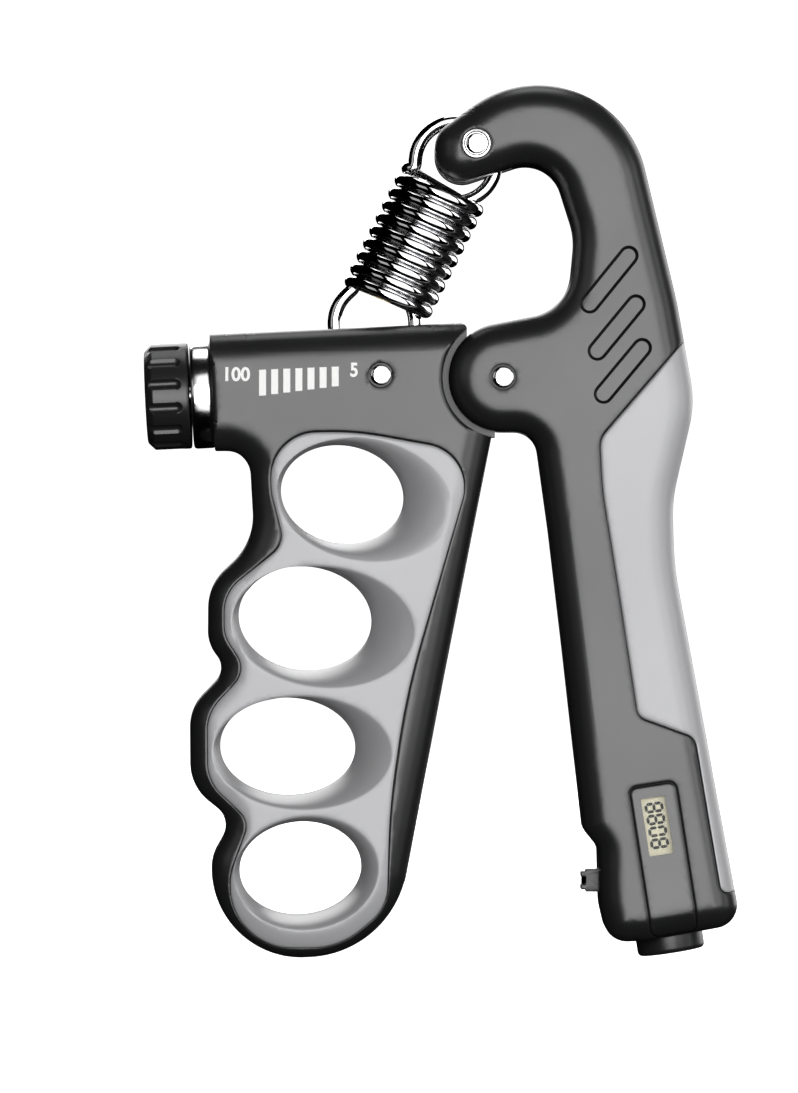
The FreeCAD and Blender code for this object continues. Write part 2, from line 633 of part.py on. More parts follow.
def build():
    """All pieces, by node name, drawn round the hinge pivot."""
    pieces = {}
    pieces.update(palm_handle())
    pieces["count_plunger"] = count_plunger()
    pieces["reset_button"] = reset_button()
    pieces.update(finger_handle())
    pieces.update(knob_group())
    pieces.update(slider_group())
    half_bush = LOOP_SLOT_W / 2 - FIT_GAP
    pieces["eye_bush"] = tube(*NOSE_PIN, EYE_BUSH_R, NOSE_PIN_R + RUN_GAP, -half_bush, half_bush)
    pieces.update(spring())
    return pieces


os.makedirs("parts", exist_ok=True)
for name, piece in build().items():
    piece.translate(Vector(0, 0, 0) - GRIP_FROM_PIVOT)
    piece.exportStep("parts/" + name + ".step")
    print(name, len(piece.Solids), round(piece.Volume, 1), piece.isValid())
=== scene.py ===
"""A counting hand gripper with a spring of adjustable force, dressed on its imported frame.

All shapes are worked out in millimetres about the hinge pivot: x to the right, y to the back and
z up the handles. They are moved into the row's frame, in metres, when a mesh is made.
"""
import json
import logging
import math
from dataclasses import dataclass
from enum import Enum
from functools import reduce
from operator import add
from typing import Callable, Optional, Sequence, Union

import bmesh
import bpy
import numpy as np
from mathutils.geometry import delaunay_2d_cdt
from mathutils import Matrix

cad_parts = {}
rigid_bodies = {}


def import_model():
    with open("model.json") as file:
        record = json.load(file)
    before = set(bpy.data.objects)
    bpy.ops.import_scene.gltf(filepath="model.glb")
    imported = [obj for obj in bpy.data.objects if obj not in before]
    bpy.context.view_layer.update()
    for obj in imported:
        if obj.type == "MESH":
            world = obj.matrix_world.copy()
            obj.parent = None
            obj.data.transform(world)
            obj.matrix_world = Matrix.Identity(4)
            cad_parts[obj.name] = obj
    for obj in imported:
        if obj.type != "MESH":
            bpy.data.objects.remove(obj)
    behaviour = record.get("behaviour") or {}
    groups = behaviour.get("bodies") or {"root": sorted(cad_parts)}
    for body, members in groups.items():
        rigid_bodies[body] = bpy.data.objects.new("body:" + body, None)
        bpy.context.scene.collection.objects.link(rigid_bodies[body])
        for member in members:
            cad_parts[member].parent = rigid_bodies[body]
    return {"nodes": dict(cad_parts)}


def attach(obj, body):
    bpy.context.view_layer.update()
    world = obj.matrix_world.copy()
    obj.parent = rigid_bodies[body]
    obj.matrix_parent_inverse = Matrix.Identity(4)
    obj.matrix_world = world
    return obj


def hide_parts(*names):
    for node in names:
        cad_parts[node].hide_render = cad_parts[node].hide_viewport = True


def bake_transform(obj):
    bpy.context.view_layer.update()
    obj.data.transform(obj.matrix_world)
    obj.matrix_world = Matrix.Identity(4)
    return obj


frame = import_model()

log = logging.getLogger("gripper")

MM = 0.001
GRIP_FROM_PIVOT = np.array([22.0, 0.0, -36.0])     # the row's origin, seen from the pivot
HALF = 13.0                                        # half the handles' thickness
EDGE_DEEP = 4.6                                    # how far the long edges fall away
SEAM = 0.07                                        # half the gap between two mouldings
SHARP = math.radians(38)

Corner = tuple[float, float, float]
Heights = Callable[[np.ndarray], np.ndarray]
Value = Union[float, tuple, "Sock"]


# ---------------------------------------------------------------- flat geometry

def unit(vectors: np.ndarray) -> np.ndarray:
    """Vectors divided by their lengths."""
    return vectors / np.linalg.norm(vectors, axis=-1, keepdims=True)


def densify(line: np.ndarray, step: float) -> np.ndarray:
    """Divide the sides of a closed outline.

    Args:
        line: corners, one row each.
        step: longest side allowed.

    Returns:
        The corners with points between them, evenly spaced on each side.
    """
    run = np.roll(line, -1, axis=0) - line
    count = np.maximum(1, np.ceil(np.hypot(run[:, 0], run[:, 1]) / step).astype(int))
    which = np.repeat(np.arange(len(line)), count)
    part = (np.arange(len(which)) - np.repeat(np.cumsum(count) - count, count)) / count[which]
    return line[which] + run[which] * part[:, None]


def rounded(corners: Sequence[Corner], step: float = 0.55) -> np.ndarray:
    """A closed outline of straight lines joined by tangent arcs.

    Args:
        corners: x, z and radius of each corner.
        step: spacing of the points along it.

    Returns:
        Points of the outline, one row each.
    """
    table = np.array(corners, float)
    here, radius = table[:, :2], table[:, 2]
    back = unit(np.roll(here, 1, axis=0) - here)
    ahead = unit(np.roll(here, -1, axis=0) - here)
    half = 0.5 * np.arccos(np.clip((back * ahead).sum(axis=1), -1, 1))
    centre = here + unit(back + ahead) * (radius / np.sin(half))[:, None]
    reach = (radius / np.tan(half))[:, None]
    start, stop, turn = here + back * reach - centre, here + ahead * reach - centre, math.pi - 2 * half
    arcs = []
    for i, bend in enumerate(turn):
        count = 1 if radius[i] == 0 else max(3, int(bend * radius[i] / step) + 2, int(bend / 0.14) + 2)
        part = np.linspace(0, 1, count)[:, None]
        swept = (np.sin((1 - part) * bend) * start[i] + np.sin(part * bend) * stop[i]) / math.sin(bend)
        arcs.append(centre[i] + (swept if radius[i] else 0 * part))
    return densify(np.vstack(arcs), step)


def circle(x: float, z: float, radius: float, count: int = 48) -> np.ndarray:
    """Points round a circle."""
    turn = np.linspace(0, 2 * math.pi, count, endpoint=False)
    return np.stack([x + radius * np.cos(turn), z + radius * np.sin(turn)], axis=1)


def distance(points: np.ndarray, line: np.ndarray) -> np.ndarray:
    """The least distance from each point to a closed outline, over all its sides.

    Args:
        points: x and z of each point.
        line: corners of the outline.

    Returns:
        One distance for each point.
    """
    run = np.roll(line, -1, axis=0) - line
    square = np.maximum((run * run).sum(axis=1), 1e-12)
    found = []
    for some in np.array_split(points, max(1, len(points) // 1500)):
        away = some[:, None] - line
        part = np.clip((away * run).sum(axis=2) / square, 0, 1)
        gap = away - part[..., None] * run
        found.append(np.sqrt((gap * gap).sum(axis=2).min(axis=1)))
    return np.concatenate(found)


def inside(points: np.ndarray, line: np.ndarray) -> np.ndarray:
    """Whether each point lies in a closed outline: the sides above it are an odd number.

    Args:
        points: x and z of each point.
        line: corners of the outline.

    Returns:
        True or False for each point.
    """
    x0, z0 = line[:, 0], line[:, 1]
    x1, z1 = np.roll(x0, -1), np.roll(z0, -1)
    found = []
    for some in np.array_split(points, max(1, len(points) // 1500)):
        x, z = some[:, :1], some[:, 1:]
        spans = (x0 > x) != (x1 > x)
        rise = np.where(x1 == x0, 1.0, x1 - x0)
        above = z < z0 + (z1 - z0) * (x - x0) / rise
        found.append((spans & above).sum(axis=1) % 2 == 1)
    return np.concatenate(found)


def shifted(line: np.ndarray, inward: float) -> np.ndarray:
    """A closed outline moved sideways, each point along its own normal.

    Args:
        line: points of the outline, closely spaced.
        inward: how far; outward where it is negative.

    Returns:
        As many points.
    """
    ahead = unit(np.roll(line, -1, axis=0) - np.roll(line, 1, axis=0))
    left = np.stack([-ahead[:, 1], ahead[:, 0]], axis=1)
    x, z = line[:, 0], line[:, 1]
    area = (x * np.roll(z, -1) - np.roll(x, -1) * z).sum()
    return line + left * inward * np.sign(area)


def bevel(depth: np.ndarray, wide: float, deep: float) -> np.ndarray:
    """The drop of a quarter-ellipse edge: deep at the edge itself, nothing further in than wide."""
    part = 1 - np.clip(depth / wide, 0, 1)
    return deep * (1 - np.sqrt(np.maximum(0, 1 - part * part)))


@dataclass(frozen=True)
class Oval:
    """A tilted ellipse: middle, half length, half height, and tilt in degrees."""

    x: float
    z: float
    long: float
    high: float
    tilt: float

    def axes(self) -> np.ndarray:
        """Its two unit axes, one row each."""
        turn = math.radians(self.tilt)
        return np.array([[math.cos(turn), math.sin(turn)], [-math.sin(turn), math.cos(turn)]])

    def ring(self, count: int = 132, grow: float = 0.0) -> np.ndarray:
        """Points round it, from the same start on every oval."""
        turn = np.linspace(0, 2 * math.pi, count, endpoint=False)
        local = np.stack([(self.long + grow) * np.cos(turn), (self.high + grow) * np.sin(turn)], axis=1)
        return local @ self.axes() + (self.x, self.z)

    def level(self, points: np.ndarray) -> np.ndarray:
        """0 at its middle, 1 on it, more outside."""
        local = (points - (self.x, self.z)) @ self.axes().T
        return np.hypot(local[:, 0] / self.long, local[:, 1] / self.high)


# ---------------------------------------------------------------- meshes

def to_row(points: np.ndarray) -> np.ndarray:
    """Points from millimetres about the pivot to metres in the row's frame."""
    return (np.asarray(points, float) - GRIP_FROM_PIVOT) * MM


@dataclass
class Solid:
    """Points in millimetres about the pivot, with the faces between them."""

    points: np.ndarray
    faces: list

    def __add__(self, other: "Solid") -> "Solid":
        """Both solids in one mesh."""
        moved = [[i + len(self.points) for i in face] for face in other.faces]
        return Solid(np.vstack([self.points, other.points]), self.faces + moved)

    def piece(self, name: str, body: str, stands_for: Sequence[str], look: "Finish",
              outward: bool = False) -> bpy.types.Object:
        """Make the object, ride it on its body and dress it.

        Args:
            name: the piece's name.
            body: the frame's body that it moves with.
            stands_for: frame nodes that it replaces.
            look: its finish.
            outward: work the normals out again, for shapes that were carried round an axis.

        Returns:
            The new object.
        """
        mesh = bpy.data.meshes.new(name)
        mesh.from_pydata(to_row(self.points).tolist(), [], self.faces)
        if outward:
            work = bmesh.new()
            work.from_mesh(mesh)
            bmesh.ops.recalc_face_normals(work, faces=work.faces)
            work.to_mesh(mesh)
            work.free()
        mesh.polygons.foreach_set("use_smooth", np.ones(len(mesh.polygons), bool))
        mesh.set_sharp_from_angle(angle=SHARP)
        mesh.materials.append(look.material())
        obj = bpy.data.objects.new(name, mesh)
        bpy.context.scene.collection.objects.link(obj)
        if body:
            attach(obj, body)
        if stands_for:
            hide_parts(*stands_for)
        log.info("%s: %d faces, %s", name, len(mesh.polygons), look.slot)
        return obj


@dataclass
class Net:
    """Triangles that cover a handle's side face, from which its mouldings are taken."""

    points: np.ndarray
    triangles: np.ndarray

    @classmethod
    def woven(cls, loops: Sequence[np.ndarray], loose: Sequence[np.ndarray], within: np.ndarray,
              spacing: float) -> "Net":
        """Triangulate all loops, loose points and a filling of points.

        Args:
            loops: closed outlines that the triangles' sides must follow.
            loose: more points.
            within: the outline that the filling stays in.
            spacing: distance between the filling's points.

        Returns:
            The net.
        """
        low, high = within.min(axis=0), within.max(axis=0)
        rows = np.arange(low[1], high[1], spacing * 0.866)
        columns = np.arange(low[0], high[0], spacing)
        grid_x, grid_z = np.meshgrid(columns, rows)
        grid_x = grid_x + 0.5 * spacing * (np.arange(len(rows))[:, None] % 2)
        fill = np.stack([grid_x.ravel(), grid_z.ravel()], axis=1)
        fill = fill[inside(fill, within)]
        fixed = np.vstack(list(loops))
        for some in [fixed] + list(loose):
            near = nearest(fill, some)
            fill = fill[near > 0.42 * spacing]
        ends = np.cumsum([len(loop) for loop in loops])
        edges = []
        for loop, end in zip(loops, ends):
            index = np.arange(end - len(loop), end)
            edges.append(np.stack([index, np.roll(index, -1)], axis=1))
        points = np.vstack([fixed] + list(loose) + [fill])
        found = delaunay_2d_cdt(points.tolist(), np.vstack(edges).tolist(), [], 0, 1e-5)
        flat = np.array([tuple(p) for p in found[0]])
        faces = np.array([tuple(f) for f in found[2] if len(f) == 3])
        return cls(flat, triangle_turn(flat, faces))

    def solid(self, keep: Heights, outer: Heights, inner: Heights, side: int) -> Solid:
        """A closed moulding over part of the net.

        Args:
            keep: which triangles belong to it, from their middles.
            outer: height of its outer face over the handle's middle plane.
            inner: height of its inner face.
            side: -1 for the front half, +1 for the back half.

        Returns:
            The solid: both faces and the walls between them.
        """
        chosen = self.triangles[keep(self.points[self.triangles].mean(axis=1))]
        used, chosen = np.unique(chosen, return_inverse=True)
        chosen = chosen.reshape(-1, 3)
        flat = self.points[used]
        high = outer(flat)
        low = np.minimum(inner(flat), high - 0.25)
        count = len(flat)
        shell = [np.stack([flat[:, 0], side * y, flat[:, 1]], axis=1) for y in (high, low)]
        sides = np.vstack([chosen[:, [0, 1]], chosen[:, [1, 2]], chosen[:, [2, 0]]])
        code = sides[:, 0] * count + sides[:, 1]
        rim = sides[~np.isin(code, sides[:, 1] * count + sides[:, 0])]
        walls = np.stack([rim[:, 1], rim[:, 0], rim[:, 0] + count, rim[:, 1] + count], axis=1)
        faces = [chosen, chosen[:, ::-1] + count, walls]
        if side > 0:
            faces = [some[:, ::-1] for some in faces]
        return Solid(np.vstack(shell), [row for some in faces for row in some.tolist()])


def nearest(points: np.ndarray, others: np.ndarray) -> np.ndarray:
    """The distance from each point to the nearest of the others.

    Args:
        points: x and z of each point.
        others: x and z of the points to measure to.

    Returns:
        One distance for each point.
    """
    found = []
    for some in np.array_split(points, max(1, len(points) // 400)):
        gap = some[:, None] - others
        found.append(np.sqrt((gap * gap).sum(axis=2).min(axis=1)))
    return np.concatenate(found)


def triangle_turn(points: np.ndarray, faces: np.ndarray) -> np.ndarray:
    """Triangles turned so that all run anticlockwise in x and z.

    Args:
        points: x and z of the points.
        faces: three point numbers for each triangle.

    Returns:
        The same triangles, those with a negative area turned over.
    """
    a, b, c = (points[faces[:, i]] for i in range(3))
    area = (b[:, 0] - a[:, 0]) * (c[:, 1] - a[:, 1]) - (b[:, 1] - a[:, 1]) * (c[:, 0] - a[:, 0])
    return np.where(area[:, None] < 0, faces[:, ::-1], faces)


def grid_faces(rows: int, columns: int, wrap_rows: bool = False) -> np.ndarray:
    """Four-sided faces of a grid of points that is closed round its columns.

    Args:
        rows: number of rows.
        columns: points in each row.
        wrap_rows: whether the last row also joins the first.

    Returns:
        Four point numbers for each face.
    """
    last = rows if wrap_rows else rows - 1
    i, j = np.meshgrid(np.arange(last), np.arange(columns), indexing="ij")
    down, right = (i + 1) % rows, (j + 1) % columns
    return np.stack([i * columns + j, down * columns + j, down * columns + right, i * columns + right],
                    axis=-1).reshape(-1, 4)


@dataclass(frozen=True)
class Axis:
    """A line that round pieces are turned on: a point on it and its direction."""

    start: tuple
    along: tuple

    def turned(self, profile: Sequence[tuple], segments: int = 72, ring: bool = False,
               shape: Optional[Callable] = None) -> Solid:
        """A profile carried round the axis.

        Args:
            profile: distance along the axis and radius of each point.
            segments: divisions round the axis.
            ring: whether the profile closes on itself; if not, its ends meet the axis.
            shape: changes the radius, from the angle and the distance along.

        Returns:
            The turned solid.
        """
        table = np.array(profile, float)
        along = unit(np.array(self.along, float))
        first = unit(np.cross(along, (0.3, 0.2, 0.93)))
        second = np.cross(along, first)
        turn = np.linspace(0, 2 * math.pi, segments, endpoint=False)
        body = table if ring else table[1:-1]
        radius = np.repeat(body[:, 1:], segments, axis=1)
        run = np.repeat(body[:, :1], segments, axis=1)
        if shape is not None:
            radius = shape(turn[None, :], run, radius)
        out = np.cos(turn)[:, None] * first + np.sin(turn)[:, None] * second
        points = (np.array(self.start) + run[..., None] * along + radius[..., None] * out).reshape(-1, 3)
        faces = grid_faces(len(body), segments, ring).tolist()
        if ring:
            return Solid(points, faces)
        poles = np.array(self.start) + table[[0, -1], :1] * along
        count, last = len(points), len(points) - segments
        for j in range(segments):
            after = (j + 1) % segments
            faces.append([count, j, after])
            faces.append([count + 1, last + after, last + j])
        return Solid(np.vstack([points, poles]), faces)


def joined(solids: Sequence[Solid]) -> Solid:
    """All the solids in one mesh."""
    return reduce(add, solids)


def prism(corners: np.ndarray, y0: float, y1: float) -> Solid:
    """A flat outline drawn out along y.

    Args:
        corners: x and z of each corner.
        y0: front face.
        y1: back face.

    Returns:
        The closed bar.
    """
    count = len(corners)
    points = np.vstack([np.insert(corners, 1, y, axis=1) for y in (y0, y1)])
    i = np.arange(count)
    walls = np.stack([i, np.roll(i, -1), np.roll(i, -1) + count, i + count], axis=1).tolist()
    return Solid(points, [list(range(count))[::-1], list(range(count, 2 * count))] + walls)


def pillow(corners: Sequence[Corner], y0: float, y1: float, edge: float) -> Solid:
    """A small plate with rounded edges: rings that shrink towards both faces.

    Args:
        corners: x, z and radius of each corner.
        y0: front face.
        y1: back face.
        edge: radius of the edges.

    Returns:
        The closed plate.
    """
    line = rounded(corners, 0.4)
    turn = np.linspace(0, math.pi / 2, 6)
    inset = edge * (1 - np.sin(turn))
    rise = edge * (1 - np.cos(turn))
    levels = list(zip(inset, y0 + rise)) + list(zip(inset, y1 - rise))[::-1]
    rings = [np.insert(shifted(line, amount), 1, y, axis=1) for amount, y in levels]
    count = len(line)
    last = (len(rings) - 1) * count
    faces = grid_faces(len(rings), count).tolist()
    faces += [list(range(count))[::-1], list(range(last, last + count))]
    return Solid(np.vstack(rings), faces)


# ---------------------------------------------------------------- shader work

class Sock:
    """A shader socket that can be added, multiplied and so on like a number."""

    def __init__(self, tree: "Recipe", socket: bpy.types.NodeSocket) -> None:
        """Keep the socket and the recipe that it belongs to."""
        self.tree = tree
        self.socket = socket

    def sum_node(self, kind: str, first: Value, second: Value) -> "Sock":
        """A Math node of one kind on two values."""
        return self.tree.node("ShaderNodeMath", {"operation": kind}, {0: first, 1: second})

    def __add__(self, other: Value) -> "Sock":
        """This plus a value."""
        return self.sum_node("ADD", self, other)

    def __mul__(self, other: Value) -> "Sock":
        """This times a value."""
        return self.sum_node("MULTIPLY", self, other)

    def __sub__(self, other: Value) -> "Sock":
        """This less a value."""
        return self.sum_node("SUBTRACT", self, other)

    def __rsub__(self, other: Value) -> "Sock":
        """A value less this."""
        return self.sum_node("SUBTRACT", other, self)

    def __pow__(self, other: Value) -> "Sock":
        """This to a power."""
        return self.sum_node("POWER", self, other)

    __radd__ = __add__
    __rmul__ = __mul__


class Recipe:
    """The node tree of one material while it is written."""

    def __init__(self, name: str) -> None:
        """Start a material with its main shader and its Object coordinates."""
        self.made = bpy.data.materials.new(name)
        self.made.use_nodes = True
        self.tree = self.made.node_tree
        self.shader = self.tree.nodes["Principled BSDF"]
        self.place = self.node("ShaderNodeTexCoord", {}, {}, "Object")

    def node(self, kind: str, settings: dict, values: dict, out: Union[int, str] = 0) -> Sock:
        """Add a node.

        Args:
            kind: the node's type.
            settings: its own properties, set first; "stops" gives a ramp's positions and colours.
            values: numbers or sockets for its inputs, by name or number.
            out: the output to return.

        Returns:
            That output.
        """
        made = self.tree.nodes.new(kind)
        for key, value in settings.items():
            if key == "stops":
                ramp = made.color_ramp.elements
                for i, (at, colour) in enumerate(value):
                    stop = ramp[i] if i < 2 else ramp.new(at)
                    stop.position, stop.color = at, (*colour, 1)
            else:
                setattr(made, key, value)
        for key, value in values.items():
            self.feed(made.inputs[key], value)
        return Sock(self, made.outputs[out])

    def feed(self, socket: bpy.types.NodeSocket, value: Value) -> None:
        """Link a socket, or set its number."""
        if isinstance(value, Sock):
            self.tree.links.new(value.socket, socket)
        else:
            socket.default_value = value

    def noise(self, scale: float, detail: float = 3.0, place: Optional[Sock] = None) -> Sock:
        """Noise between 0 and 1, at a number of waves per metre."""
        return self.node("ShaderNodeTexNoise", {}, {"Vector": place or self.place, "Scale": scale,
                                                    "Detail": detail, "Roughness": 0.55})

    def stretched(self, scale: tuple, turn: float = 0.0) -> Sock:
        """Object coordinates stretched along the axes, and turned about y."""
        return self.node("ShaderNodeMapping", {}, {"Vector": self.place, "Scale": scale,
                                                   "Rotation": (0.0, turn, 0.0)})

    def blend(self, mask: Value, first: Value, second: Value) -> Sock:
        """One colour where the mask is 0 and the other where it is 1."""
        made = self.tree.nodes.new("ShaderNodeMix")
        made.data_type = "RGBA"
        for key, value in ((0, mask), (6, first), (7, second)):
            self.feed(made.inputs[key], (*value, 1) if isinstance(value, tuple) else value)
        return Sock(self, made.outputs[2])

    def grain(self, height: Sock, depth: float) -> Sock:
        """A bump from a height between 0 and 1, its depth in metres."""
        return self.node("ShaderNodeBump", {}, {"Height": height, "Distance": depth, "Strength": 1.0},
                         "Normal")

    def finish(self, **values: Value) -> bpy.types.Material:
        """Set the main shader's sockets, whose names are written with underscores, and hand it over."""
        for key, value in values.items():
            self.feed(self.shader.inputs[key.replace("_", " ")], value)
        return self.made


class Slot(Enum):
    """The record's material slots."""

    SHELL = "black_shell"
    INSERT = "silver_insert"
    SCREWS = "black_screws"
    STEEL = "bright_steel"
    CHROME = "chrome"
    PLAIN = "plain_steel"
    BRASS = "brass_bush"
    PANEL = "panel"
    WINDOW = "window"
    LCD = "lcd"
    STRIPS = "rubber_strips"
    BOARD = "board"
    SWITCH = "switch_plastic"
    BUTTONS = "black_buttons"
    KNOB = "black_knob"


@dataclass(frozen=True)
class Finish:
    """What all finishes have: a name, and the record's slot."""

    name: str
    kind: Slot

    @property
    def slot(self) -> str:
        """The record's slot name."""
        return self.kind.value

    def material(self) -> bpy.types.Material:
        """The material, made the first time it is asked for."""
        return bpy.data.materials.get(self.name) or self.mix(Recipe(self.name))

    def mix(self, recipe: Recipe) -> bpy.types.Material:
        """Write the nodes."""
        raise NotImplementedError


@dataclass(frozen=True)
class MouldedPlastic(Finish):
    """Satin moulded plastic: fine spark-eroded grain, faint flow marks, handling polish."""

    dark: tuple = (0.0095, 0.0098, 0.0104)
    light: tuple = (0.0135, 0.0138, 0.0145)
    rough: float = 0.33
    grain_depth: float = 0.000006
    gloss: float = 0.66

    def mix(self, recipe: Recipe) -> bpy.types.Material:
        """Cloudy colour, roughness that varies with handling, and a fine grain as bump."""
        cloud = recipe.noise(38.0, 4.0)
        fine = recipe.noise(5200.0, 2.0)
        flow = recipe.noise(60.0, 2.0, recipe.stretched((1.0, 1.0, 0.25), 0.3))
        return recipe.finish(
            Base_Color=recipe.blend(cloud, self.dark, self.light),
            Roughness=self.rough + (cloud - 0.5) * 0.10 + (fine - 0.5) * 0.06,
            Normal=recipe.grain(fine + flow * 0.35, self.grain_depth),
            Specular_IOR_Level=self.gloss)


@dataclass(frozen=True)
class SilverLacquer(Finish):
    """Silver-grey lacquer on a moulding: fine flake under a satin coat."""

    base: tuple = (0.36, 0.36, 0.37)
    flake: tuple = (0.46, 0.46, 0.47)
    metal: float = 0.12
    rough: float = 0.38

    def mix(self, recipe: Recipe) -> bpy.types.Material:
        """Flake-speckled colour and a slight orange-peel bump."""
        flake = recipe.noise(9000.0, 1.0)
        peel = recipe.noise(700.0, 2.0)
        cloud = recipe.noise(30.0, 3.0)
        return recipe.finish(
            Base_Color=recipe.blend(flake ** 2.0, self.base, self.flake),
            Metallic=self.metal,
            Roughness=self.rough + (cloud - 0.5) * 0.08 + (flake - 0.5) * 0.05,
            Normal=recipe.grain(peel + flake * 0.25, 0.000005))


@dataclass(frozen=True)
class Metal(Finish):
    """Bare or plated metal with hairline marks."""

    colour: tuple = (0.80, 0.80, 0.81)
    rough: float = 0.10
    marks: float = 0.000002
    draw: tuple = (1.0, 1.0, 8.0)

    def mix(self, recipe: Recipe) -> bpy.types.Material:
        """Hairlines stretched along the work, and cloudy roughness."""
        hair = recipe.noise(2600.0, 3.0, recipe.stretched(self.draw))
        cloud = recipe.noise(120.0, 3.0)
        darker = tuple(0.86 * c for c in self.colour)
        return recipe.finish(
            Base_Color=recipe.blend(cloud, darker, self.colour),
            Metallic=1.0,
            Roughness=self.rough + (cloud - 0.5) * 0.05 + (hair - 0.5) * 0.04,
            Normal=recipe.grain(hair, self.marks))


@dataclass(frozen=True)
class Ink(Finish):
    """Printed or painted marks: even colour, slightly uneven film."""

    colour: tuple = (0.95, 0.95, 0.94)
    rough: float = 0.5
    gloss: float = 0.5

    def mix(self, recipe: Recipe) -> bpy.types.Material:
        """A film whose colour thins a little in a fine mottle."""
        mottle = recipe.noise(1800.0, 3.0)
        thin = tuple(0.93 * c for c in self.colour)
        return recipe.finish(Base_Color=recipe.blend(mottle, thin, self.colour),
                             Roughness=self.rough + (mottle - 0.5) * 0.1,
                             Normal=recipe.grain(mottle, 0.000002),
                             Specular_IOR_Level=self.gloss)


@dataclass(frozen=True)
class DisplayGlass(Finish):
    """The liquid crystal cell: beige reflector, faintly cloudy, under polished glass."""

    base: tuple = (0.70, 0.66, 0.47)
    tint: tuple = (0.78, 0.74, 0.56)

    def mix(self, recipe: Recipe) -> bpy.types.Material:
        """A slow gradient of two beiges with a fine reflector grain."""
        cloud = recipe.noise(160.0, 2.0)
        grain = recipe.noise(6000.0, 1.0)
        return recipe.finish(Base_Color=recipe.blend(cloud, self.base, self.tint),
                             Roughness=0.45 + (grain - 0.5) * 0.1,
                             Normal=recipe.grain(grain, 0.000001),
                             Specular_IOR_Level=0.15)


@dataclass(frozen=True)
class ClearPane(Finish):
    """The thin clear window over the display."""

    def mix(self, recipe: Recipe) -> bpy.types.Material:
        """Mostly see-through, with a hard polish and a few faint wipes."""
        wipe = recipe.noise(90.0, 2.0, recipe.stretched((1.0, 1.0, 5.0), 0.6))
        return recipe.finish(Base_Color=(0.9, 0.92, 0.9, 1.0), Roughness=0.03 + wipe * 0.05, Alpha=0.05)


@dataclass(frozen=True)
class Board(Finish):
    """A circuit board's solder mask over its copper runs."""

    def mix(self, recipe: Recipe) -> bpy.types.Material:
        """Green mask, lighter over wavy bands that stand for the copper runs."""
        runs = recipe.node("ShaderNodeTexWave", {"bands_direction": "Z"},
                           {"Vector": recipe.place, "Scale": 260.0, "Distortion": 3.0}, "Fac")
        return recipe.finish(Base_Color=recipe.blend(runs, (0.02, 0.14, 0.05), (0.05, 0.24, 0.09)),
                             Roughness=0.35 + runs * 0.1, Normal=recipe.grain(runs, 0.00002))


BLACK_SHELL = MouldedPlastic("satin_black_shell", Slot.SHELL)
PANEL_PLASTIC = MouldedPlastic("display_panel_plastic", Slot.PANEL, rough=0.30)
BUTTON_PLASTIC = MouldedPlastic("button_plastic", Slot.BUTTONS, rough=0.38)
KNOB_PLASTIC = MouldedPlastic("knob_plastic", Slot.KNOB, rough=0.36)
SWITCH_PLASTIC = MouldedPlastic("switch_plastic", Slot.SWITCH, rough=0.5)
RUBBER = MouldedPlastic("contact_rubber", Slot.STRIPS, dark=(0.06, 0.06, 0.06), light=(0.09, 0.09, 0.09),
                        rough=0.7)
SILVER = SilverLacquer("silver_lacquer", Slot.INSERT)
CHROME = Metal("spring_chrome", Slot.CHROME, rough=0.06, marks=0.0000003)
COLLAR_METAL = Metal("collar_nickel", Slot.CHROME, colour=(0.82, 0.82, 0.83), rough=0.16, marks=0.000004)
STEEL = Metal("rivet_steel", Slot.STEEL, rough=0.11)
PLAIN = Metal("plain_steel", Slot.PLAIN, colour=(0.62, 0.62, 0.62), rough=0.3)
BLACK_ZINC = Metal("black_zinc", Slot.SCREWS, colour=(0.06, 0.06, 0.065), rough=0.35)
BRASS = Metal("turned_brass", Slot.BRASS, colour=(0.72, 0.53, 0.24), rough=0.25)
SCALE_INK = Ink("white_scale_ink", Slot.SHELL)
DIGIT_INK = Ink("dark_display_digits", Slot.LCD, colour=(0.010, 0.010, 0.008), rough=0.6, gloss=0.03)
LCD_CELL = DisplayGlass("display_cell", Slot.LCD)
PANE = ClearPane("clear_pane", Slot.WINDOW)
BOARD = Board("circuit_board_mask", Slot.BOARD)


# ---------------------------------------------------------------- what both handles share

COUNTERBORE = 2.15                                 # radius of the screws' counterbores
NEAR_SEAM = (0.22, -0.22, 0.5, -0.5)               # rows of points beside a seam
GROOVE_DEEP = 2.2                                  # depth of the groove between two mouldings
SEAM_ROUND = (0.43, 0.2)                           # width and depth of the round beside the groove
SINK = (0.42, 0.35)                                # width and depth of a countersink
EDGE_ROWS = np.radians(np.arange(9, 90, 9))        # where a rounded edge has rows of points


def capsule(first: tuple, last: tuple, radius: float) -> np.ndarray:
    """The outline of a slot with round ends.

    Args:
        first: middle of one end.
        last: middle of the other end.
        radius: half the slot's width.

    Returns:
        Points of the outline.
    """
    run = unit(np.array(last, float) - np.array(first, float))
    side = np.array([-run[1], run[0]]) * radius
    turn = np.linspace(-math.pi / 2, math.pi / 2, 13)[:, None]
    far = np.array(last) + np.cos(turn) * run * radius + np.sin(turn) * side
    near = np.array(first) - np.cos(turn) * run * radius - np.sin(turn) * side
    return densify(np.vstack([far, near]), 0.5)


def seam_drop(away: np.ndarray) -> np.ndarray:
    """How far a face falls away beside a seam: a narrow groove, and a small round beside it."""
    wide, deep = SEAM_ROUND
    part = 1 - np.clip((away - SEAM) / wide, 0, 1)
    return np.where(away < 0.8 * SEAM, GROOVE_DEEP, deep * part * part)


def seam_loops(line: np.ndarray) -> list:
    """A seam's middle line, and the groove's edges at its bottom and top."""
    return [line] + [shifted(line, side * SEAM) for side in (0.6, -0.6, 1.0, -1.0)]


